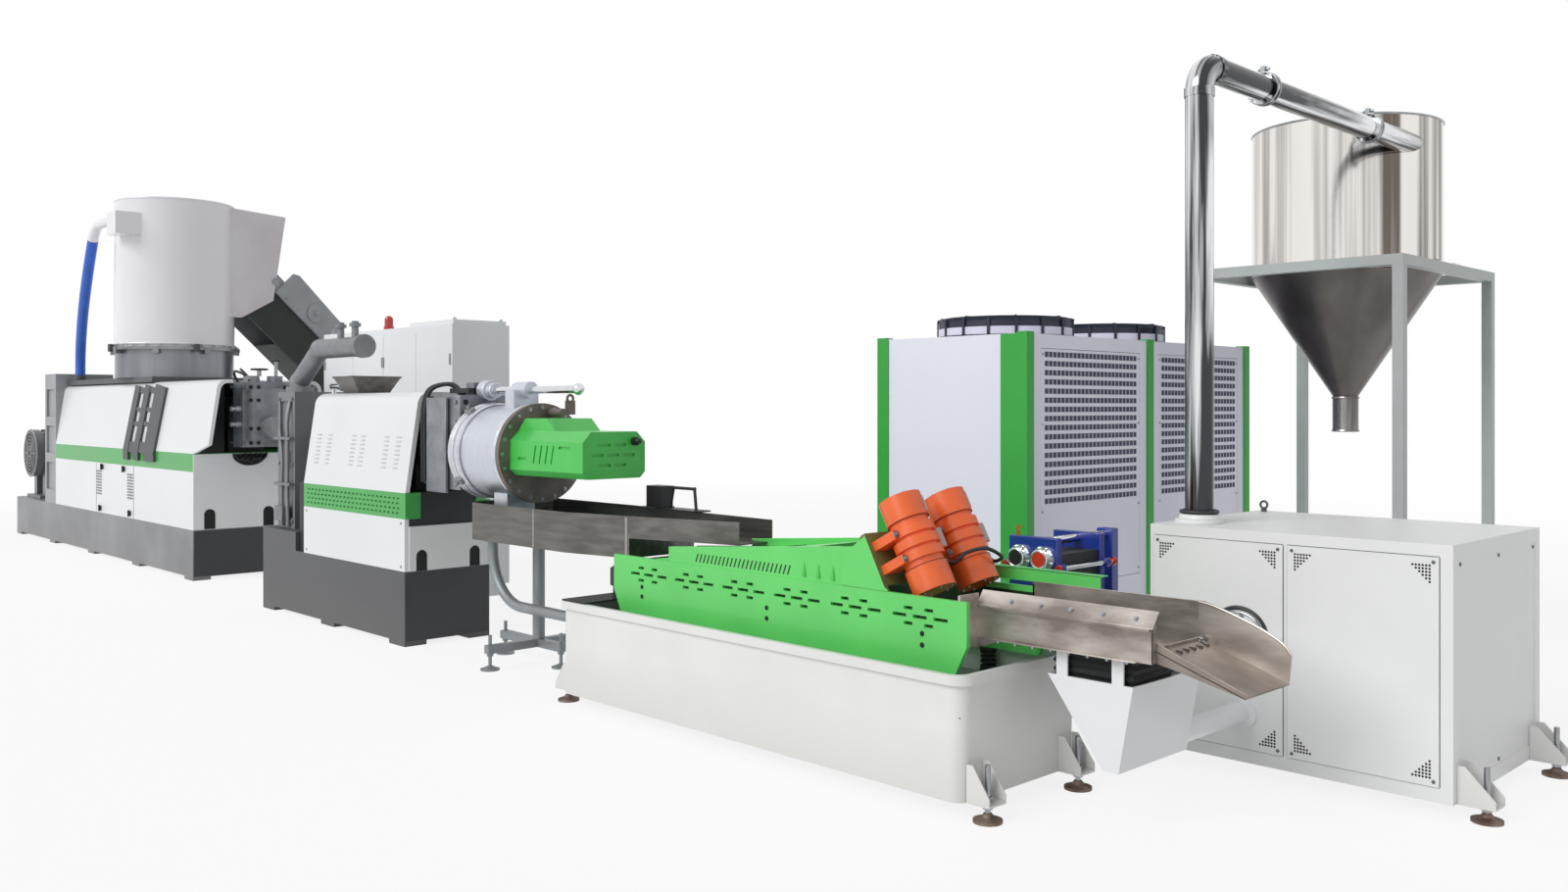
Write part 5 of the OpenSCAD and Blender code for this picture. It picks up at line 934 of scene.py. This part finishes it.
# wall, two places along it, side, height, stud from the wall, plate length
footPlaces = ((6.945, (-2.46, -1.84), 1, 0.07, 0.062, 0.11), (4.245, (-2.46, -1.84), -1, 0.07, 0.062, 0.11),
              (8.25, (-1.075, -0.18), 1, 0.06, 0.092, 0.14), (6.954, (-1.075, -0.18), -1, 0.06, 0.062, 0.11))
bracketBm, studBm, padBm = meshes(3)
half, deep, gusset = feet["half"], feet["gussetThick"], feet["gusset"]
for wall, ys, side, z, reach, long in footPlaces:
    x, tip = wall + side * reach, wall + side * long
    outline = ((wall, 0.009), (tip, 0.009), (tip, feet["toe"]), (wall + side * 0.03, gusset), (wall, gusset))
    for y in ys:
        addBox(bracketBm, (wall, y - half, z), (tip, y + half, z + feet["thick"]))
        for edge in (y - half, y + half - deep):
            addPrism(bracketBm, [(px, edge, z + up) for px, up in outline], (0, deep, 0))
        addRod(padBm, (x, y, 0), "z", 0.012, feet["pad"], 36)
        addRod(padBm, (x, y, 0.012), "z", 0.01, feet["pad"] * 0.94, 36, 0.03)
        addRod(padBm, (x, y, 0.022), "z", 0.014, 0.026, 24, 0.016)
        addCylinder(studBm, (x, y, 0.03), (x, y, z + feet["rise"]), feet["stud"], 16)
        for nut in (z - 0.02, z + feet["thick"] + 0.001):
            addRod(studBm, (x, y, nut), "z", 0.018, 0.02, 6)
        for up in spaced(*feet["threads"]):
            addRing(studBm, (x, y, z + up), "z", feet["stud"], 0.0016, 16, 4)
bracketPiece = makePiece("footBrackets", bracketBm, "tankWhite", bevel=0.002)
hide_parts("levelling_feet")
makePiece("footStuds", studBm, "zinc")
makePiece("footPads", padBm, "rust")
print("feet set")

# plate heat exchanger: plates, carrying bars, tie rods, bolted ports and bleed valve
plates = {"x": (6.334, 6.607), "front": -1.4, "head": 0.04, "rear": (-1.03, -0.996), "rearLow": 0.06,
          "top": 0.985, "post": (-0.78, -0.72), "barZ": (0.955, 0.09), "rodOut": 0.014,
          "rodZ": (0.18, 0.4925, 0.845), "portX": (6.405, 6.536), "portZ": (0.885, 0.26),
          "portRadius": 0.046, "portBolts": 8, "boltRadius": 0.052, "valve": (6.372, -1.38, 0.984)}
blueBm, barBm, nutBm, portBm, shadeBm, capBm, valveBm = meshes(7)
(px0, px1), (rear, back), (post, postBack) = plates["x"], plates["rear"], plates["post"]
front, top, radius, mid = plates["front"], plates["top"], plates["portRadius"], (px0 + px1) / 2
addBox(blueBm, (px0, front, 0), (px1, front + plates["head"], top))
addBox(blueBm, (px0, rear, plates["rearLow"]), (px1, back, top))
addBox(blueBm, (mid - 0.045, post, 0), (mid + 0.045, postBack, top))
addBox(blueBm, (mid - 0.09, post - 0.03, 0), (mid + 0.09, postBack + 0.03, 0.014))
for z in plates["barZ"]:
    addCylinder(barBm, (mid, front + 0.005, z), (mid, post + 0.01, z), 0.02)
    addRod(nutBm, (mid, postBack, z), "y", 0.016, 0.024, 6)
for x in (px0 - plates["rodOut"], px1 + plates["rodOut"]):
    for z in plates["rodZ"]:
        addCylinder(barBm, (x, front - 0.012, z), (x, back + 0.075, z), 0.011, 18)
        for y in (front, rear):
            addBox(blueBm, (x - 0.02, y + 0.004, z - 0.02), (x + 0.02, y + 0.03, z + 0.02))
        for y in (front - 0.016, back + 0.001, back + 0.05):
            addRod(nutBm, (x, y, z), "y", 0.018, 0.02, 6)
for i, x in enumerate(plates["portX"]):
    for k, z in enumerate(plates["portZ"]):
        addRod(portBm, (x, front, z), "-y", 0.016, radius + 0.014, 36)
        addRod(portBm, (x, front - 0.016, z), "-y", 0.03, radius, 36)
        addRing(portBm, (x, front - 0.046, z), "y", radius - 0.005, 0.006, 36)
        for angle in turns(plates["portBolts"], 0.5):
            point = onCircle((x, front - 0.016, z), "y", plates["boltRadius"], angle)
            addBolt(portBm, point, "-y", 0.007, 0.012)
        capped = i == 1 and k == 0
        addRod(capBm if capped else shadeBm, (x, front - 0.046, z), "-y", 0.0025, radius - 0.009, 28)
x, y, z = plates["valve"]
addRod(valveBm, (x, y, z), "z", 0.02, 0.011, 6)
addRod(valveBm, (x, y, z + 0.02), "z", 0.02, 0.008, 16)
addBox(valveBm, (x - 0.02, y - 0.005, z + 0.04), (x + 0.03, y + 0.005, z + 0.046))
exchangerPiece = makePiece("exchangerPlatesFrame", blueBm, "blue", bevel=0.004)
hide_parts("exchanger_frame")
makePiece("exchangerBars", barBm, "chrome")
makePiece("exchangerNuts", nutBm, "red")
makePiece("exchangerPorts", portBm, "alloyBright")
makePiece("portShades", shadeBm, "dark")
makePiece("portCaps", capBm, "redCap")
makePiece("bleedValve", valveBm, "brass")
print("exchanger dressed")

# chiller: slotted panels, wide corner trim, fan cowls and guards
chiller = {"face": 5.7965, "floor": 5.774, "panels": ((-0.364, 0.708), (0.928, 2.0)), "z": (0.563, 1.932),
           "gap": 0.003, "rows": 17, "columns": 24, "slotZ": (1.06, 1.9), "slotHigh": 0.031,
           "slotWide": 0.034, "slotIn": 0.06, "screwIn": 0.02, "screwZ": (0.6, 1.0, 1.5, 1.9),
           "trimX": ((5.628, 5.745), (4.752, 4.775)), "trimY": (-0.5138, -0.5021), "trimZ": (0.0, 2.014)}
fans = {"places": ((5.25, 0.05), (5.25, 1.13)), "radius": 0.41, "cowlZ": (2.016, 0.062), "brackets": 16,
        "guardZ": 2.139, "rings": (0.05, 0.386, 9), "spokes": 8, "spoke": (0.04, 0.4), "spokeZ": 2.142}


def addCoilSlots(bm, xLow, xHigh):
    wide, high, inset = chiller["slotWide"] / 2, chiller["slotHigh"] / 2, chiller["slotIn"]
    for y0, y1 in chiller["panels"]:
        for z in spaced(*chiller["slotZ"], chiller["rows"]):
            for y in spaced(y0 + inset, y1 - inset, chiller["columns"]):
                addBox(bm, (xLow, y - wide, z - high), (xHigh, y + wide, z + high))


panelBm, slotBm, screwBm, trimBm, cowlBm, guardBm, bracketBm = meshes(7)
face, gap = chiller["face"], chiller["gap"]
for y0, y1 in chiller["panels"]:
    addBox(panelBm, (chiller["floor"], y0 + gap, chiller["z"][0]), (face, y1 - gap, chiller["z"][1]))
    for y in (y0 + chiller["screwIn"], y1 - chiller["screwIn"]):
        for z in chiller["screwZ"]:
            addRod(screwBm, (face, y, z), "x", 0.0035, 0.007, 12)
addCoilSlots(slotBm, face, face + 0.001)
for trimX in chiller["trimX"]:
    addBox(trimBm, *zip(trimX, chiller["trimY"], chiller["trimZ"]))
outer = fans["radius"]
for x, y in fans["places"]:
    addRod(cowlBm, (x, y, fans["cowlZ"][0]), "z", fans["cowlZ"][1], outer + 0.006, 72)
    for angle in turns(fans["brackets"]):
        addBox(bracketBm, (outer + 0.004, -0.009, 2.03), (outer + 0.013, 0.009, 2.13),
               turned((x, y, 0), angle, "Z"))
    for ring in spaced(*fans["rings"]):
        addRing(guardBm, (x, y, fans["guardZ"]), "z", ring, 0.0035, 56, 5)
    for angle in turns(fans["spokes"]):
        spoke = [onCircle((x, y, fans["spokeZ"]), "z", end, angle) for end in fans["spoke"]]
        sweep(guardBm, spoke, 0.0045, 6)
makePiece("chillerPanels", panelBm, "chiller")
makePiece("chillerSlots", slotBm, "slot")
makePiece("chillerScrews", screwBm, "zinc")
makePiece("chillerCornerTrim", trimBm, "postGreen", bevel=0.002)
makePiece("fanCowls", cowlBm, "cowl", bevel=0.003)
makePiece("fanBrackets", bracketBm, "fan", bevel=0.002)
makePiece("fanGuards", guardBm, "fan")
print("chiller dressed")

# blower cabinet: perforated door corners, seams, screws, inlet rim, lifting eye
blower = {"doors": ((6.974, 7.577), (7.597, 8.2)), "z": (0.12, 1.015), "face": -1.171, "hole": 0.0046,
          "pitch": 0.0128, "inset": 0.034, "rows": 6, "screwIn": 0.02, "seam": (0.0005, 0.003),
          "seamY": (-1.1662, -1.165), "sideX": 8.246, "sideY": (-1.08, -0.175), "sideZ": (0.14, 0.985),
          "eye": (7.01, -0.15, 1.0645)}
inlet = {"centre": (7.384, -1.171, 0.6), "radius": 0.128, "bolts": 6, "boltRadius": 0.095, "boltTurn": 0.4}
holeBm, seamBm, screwBm, sealBm, rimBm, eyeBm = meshes(6)
face, inset, pitch, edge = blower["face"], blower["inset"], blower["pitch"], blower["screwIn"]
z0, z1 = blower["z"]
s0, s1 = blower["seam"]
for x0, x1 in blower["doors"]:
    for x, across in ((x0, 1), (x1, -1)):
        for z, up in ((z0, 1), (z1, -1)):
            for row in range(blower["rows"]):
                for k in range(blower["rows"] - row):
                    hole = (x + across * (inset + pitch * k), face, z + up * (inset + pitch * row))
                    addRod(holeBm, hole, "-y", 0.0012, blower["hole"], 10)
            addRod(screwBm, (x + across * edge, face, z + up * edge), "-y", 0.003, 0.007, 14)
    for xs, zs in (((x0 - s1, x0 - s0), (z0, z1)), ((x1 + s0, x1 + s1), (z0, z1)),
                   ((x0, x1), (z0 - s1, z0 - s0)), ((x0, x1), (z1 + s0, z1 + s1))):
        addBox(seamBm, *zip(xs, blower["seamY"], zs))
for y in spaced(*blower["sideY"], 3):
    for z in blower["sideZ"]:
        addRod(screwBm, (blower["sideX"], y, z), "x", 0.0032, 0.008, 14)
addRing(sealBm, inlet["centre"], "y", inlet["radius"], 0.009, 56)
addRing(rimBm, Vector(inlet["centre"]) - axes["y"] * 0.004, "y", inlet["radius"] - 0.018, 0.006, 56)
for angle in turns(inlet["bolts"]):
    point = onCircle(inlet["centre"], "y", inlet["boltRadius"], angle + inlet["boltTurn"])
    addBolt(rimBm, point, "-y", 0.007, 0.007)
addRod(eyeBm, blower["eye"], "z", 0.0175, 0.014, 16)
addRing(eyeBm, Vector(blower["eye"]) + axes["z"] * 0.0355, "y", 0.018, 0.006, 24)
makePiece("doorPerforation", holeBm, "dark")
makePiece("doorSeams", seamBm, "seamDark")
makePiece("doorScrews", screwBm, "seamDark")
makePiece("inletSeal", sealBm, "black")
makePiece("inletRim", rimBm, "zinc")
makePiece("blowerEyes", eyeBm, "trim")
print("blower dressed")

# conveying pipe: foot and clamps; silo: rims and outlet
pipe = {"x": 7.09, "y": -0.967, "foot": 1.0652, "collarZ": 1.117, "collar": 0.08, "radius": 0.064,
        "z": 3.18, "clampY": (-0.315, 0.975)}
silo = {"centre": (6.6215, 1.8), "radius": 0.558, "rims": ((3.35, 0.008), (2.44, 0.007)),
        "stub": (1.45, 1.66), "stubRims": (1.448, 1.658), "stubRadius": 0.076}
footBm, collarBm, clampBm, rimBm, stubBm = meshes(5)
x, z = pipe["x"], pipe["z"]
addCylinder(footBm, (x, pipe["y"], pipe["foot"]), (x, pipe["y"], 1.085), 0.107, 48)
addRod(footBm, (x, pipe["y"], 1.085), "z", 0.022, 0.095, 48, 0.085)
addRing(collarBm, (x, pipe["y"], pipe["collarZ"]), "z", pipe["collar"], 0.009)
for y in pipe["clampY"]:
    for dy in (-0.016, 0.016):
        addRing(clampBm, (x, y + dy, z), "y", pipe["radius"] + 0.015, 0.005, 40)
    addBox(clampBm, (x - 0.012, y - 0.02, z + 0.074), (x + 0.012, y + 0.02, z + 0.112))
    addRod(clampBm, (x - 0.03, y, z + 0.097), "x", 0.06, 0.007, 12)
for z, wire in silo["rims"]:
    addRing(rimBm, (*silo["centre"], z), "z", silo["radius"], wire, 96)
for z in silo["stubRims"]:
    addRing(stubBm, (*silo["centre"], z), "z", silo["stubRadius"], 0.008, 40)
addCylinder(stubBm, *[(*silo["centre"], z) for z in silo["stub"]], silo["stubRadius"] + 0.0015, 40)
makePiece("pipeFoot", footBm, "doorWhite", bevel=0.003)
makePiece("pipeFootClamp", collarBm, "iron")
makePiece("pipeClamps", clampBm, "zinc", bevel=0.002)
makePiece("siloRims", rimBm, "zinc")
makePiece("siloOutlet", stubBm, "outlet")
print("pipe and silo dressed")

# folded dark rubber sleeve between the discharge and the pellet hopper, put there as painted shadow under the
# trough
shadowSleeve = {"x": (7.13, 7.466), "y": (-2.178, -1.9), "z": (0.52, 0.66), "folds": 4, "deep": 0.01}
shadowSleeveBm = bmesh.new()
(x0, x1), (y0, y1) = shadowSleeve["x"], shadowSleeve["y"]
rings = []
for k, z in enumerate(spaced(*shadowSleeve["z"], 2 * shadowSleeve["folds"] + 1)):
    grow = shadowSleeve["deep"] * (k % 2)
    left, right, near, far = x0 - grow, x1 + grow, y0 - grow, y1 + grow
    corners = (left, near), (right, near), (right, far), (left, far)
    rings.append([shadowSleeveBm.verts.new((x, y, z)) for x, y in corners])
for low, high in zip(rings, rings[1:]):
    for i in range(4):
        k = (i + 1) % 4
        shadowSleeveBm.faces.new((low[i], low[k], high[k], high[i]))
shadowSleeveBm.faces.new(rings[0])
shadowSleeveBm.faces.new(rings[-1])
# the sleeve's dark rubber stands for the shadow under the trough: painted shadow
makePiece("hopperShadowSleeve", shadowSleeveBm, "belt")

# backs: louvres and seams on the cabinets and covers, coil slots on the chiller
backs = {"wide": 0.2, "pitch": 0.03, "count": 8, "out": 0.008, "high": 0.02, "cabinetY": -0.58,
         "cabinetZ": (0.3, 1.75), "cabinetSeam": (0.12, 2.2), "cabinetSeamHalf": 0.003,
         "ext1X": (-6.0, -4.9, -3.4), "ext1Z": 0.6, "ext1Seams": (-5.5, -4.2, -2.9), "ext2X": (0.9, 1.5),
         "ext2Z": 0.56, "blowerX": (7.3, 7.6, 7.9), "blowerZ": (0.35, 0.7)}
louvreBm, seamBm, slotBm = meshes(3)
y, half = backs["cabinetY"], backs["cabinetSeamHalf"]
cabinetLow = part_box("control_cabinet")[0]
ext1Back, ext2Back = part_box("ext1_lower_panel")[1].y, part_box("ext2_lower_panel")[1].y
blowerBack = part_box("blower_cabinet")[1].y
doorLefts = [cabinetLow.x + control["edge"] + doorWide * k for k in range(control["doors"])]
places = [(left + doorWide / 2, y, z) for left in doorLefts for z in backs["cabinetZ"]]
places += [(x, ext1Back, backs["ext1Z"]) for x in backs["ext1X"]]
places += [(x, ext2Back, backs["ext2Z"]) for x in backs["ext2X"]]
places += [(x, blowerBack, z) for x in backs["blowerX"] for z in backs["blowerZ"]]
for x, back, low in places:
    for k in range(backs["count"]):
        z = low + backs["pitch"] * k
        addLouvre(louvreBm, x, backs["wide"], back, back + backs["out"], z, backs["high"])
for x in doorLefts[1:]:
    addBox(seamBm, (x - half, y, backs["cabinetSeam"][0]), (x + half, y + seamOut, backs["cabinetSeam"][1]))
for x in backs["ext1Seams"]:
    addBox(seamBm, (x - seamHalf, ext1Back, seamLow), (x + seamHalf, ext1Back + seamOut, seamHigh))
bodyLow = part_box("chiller_body")[0]
addCoilSlots(slotBm, bodyLow.x - 0.001, bodyLow.x)
makePiece("backLouvres", louvreBm, "louvre")
makePiece("backSeams", seamBm, "seam")
makePiece("chillerCoilSlots", slotBm, "slot")
print("backs dressed")
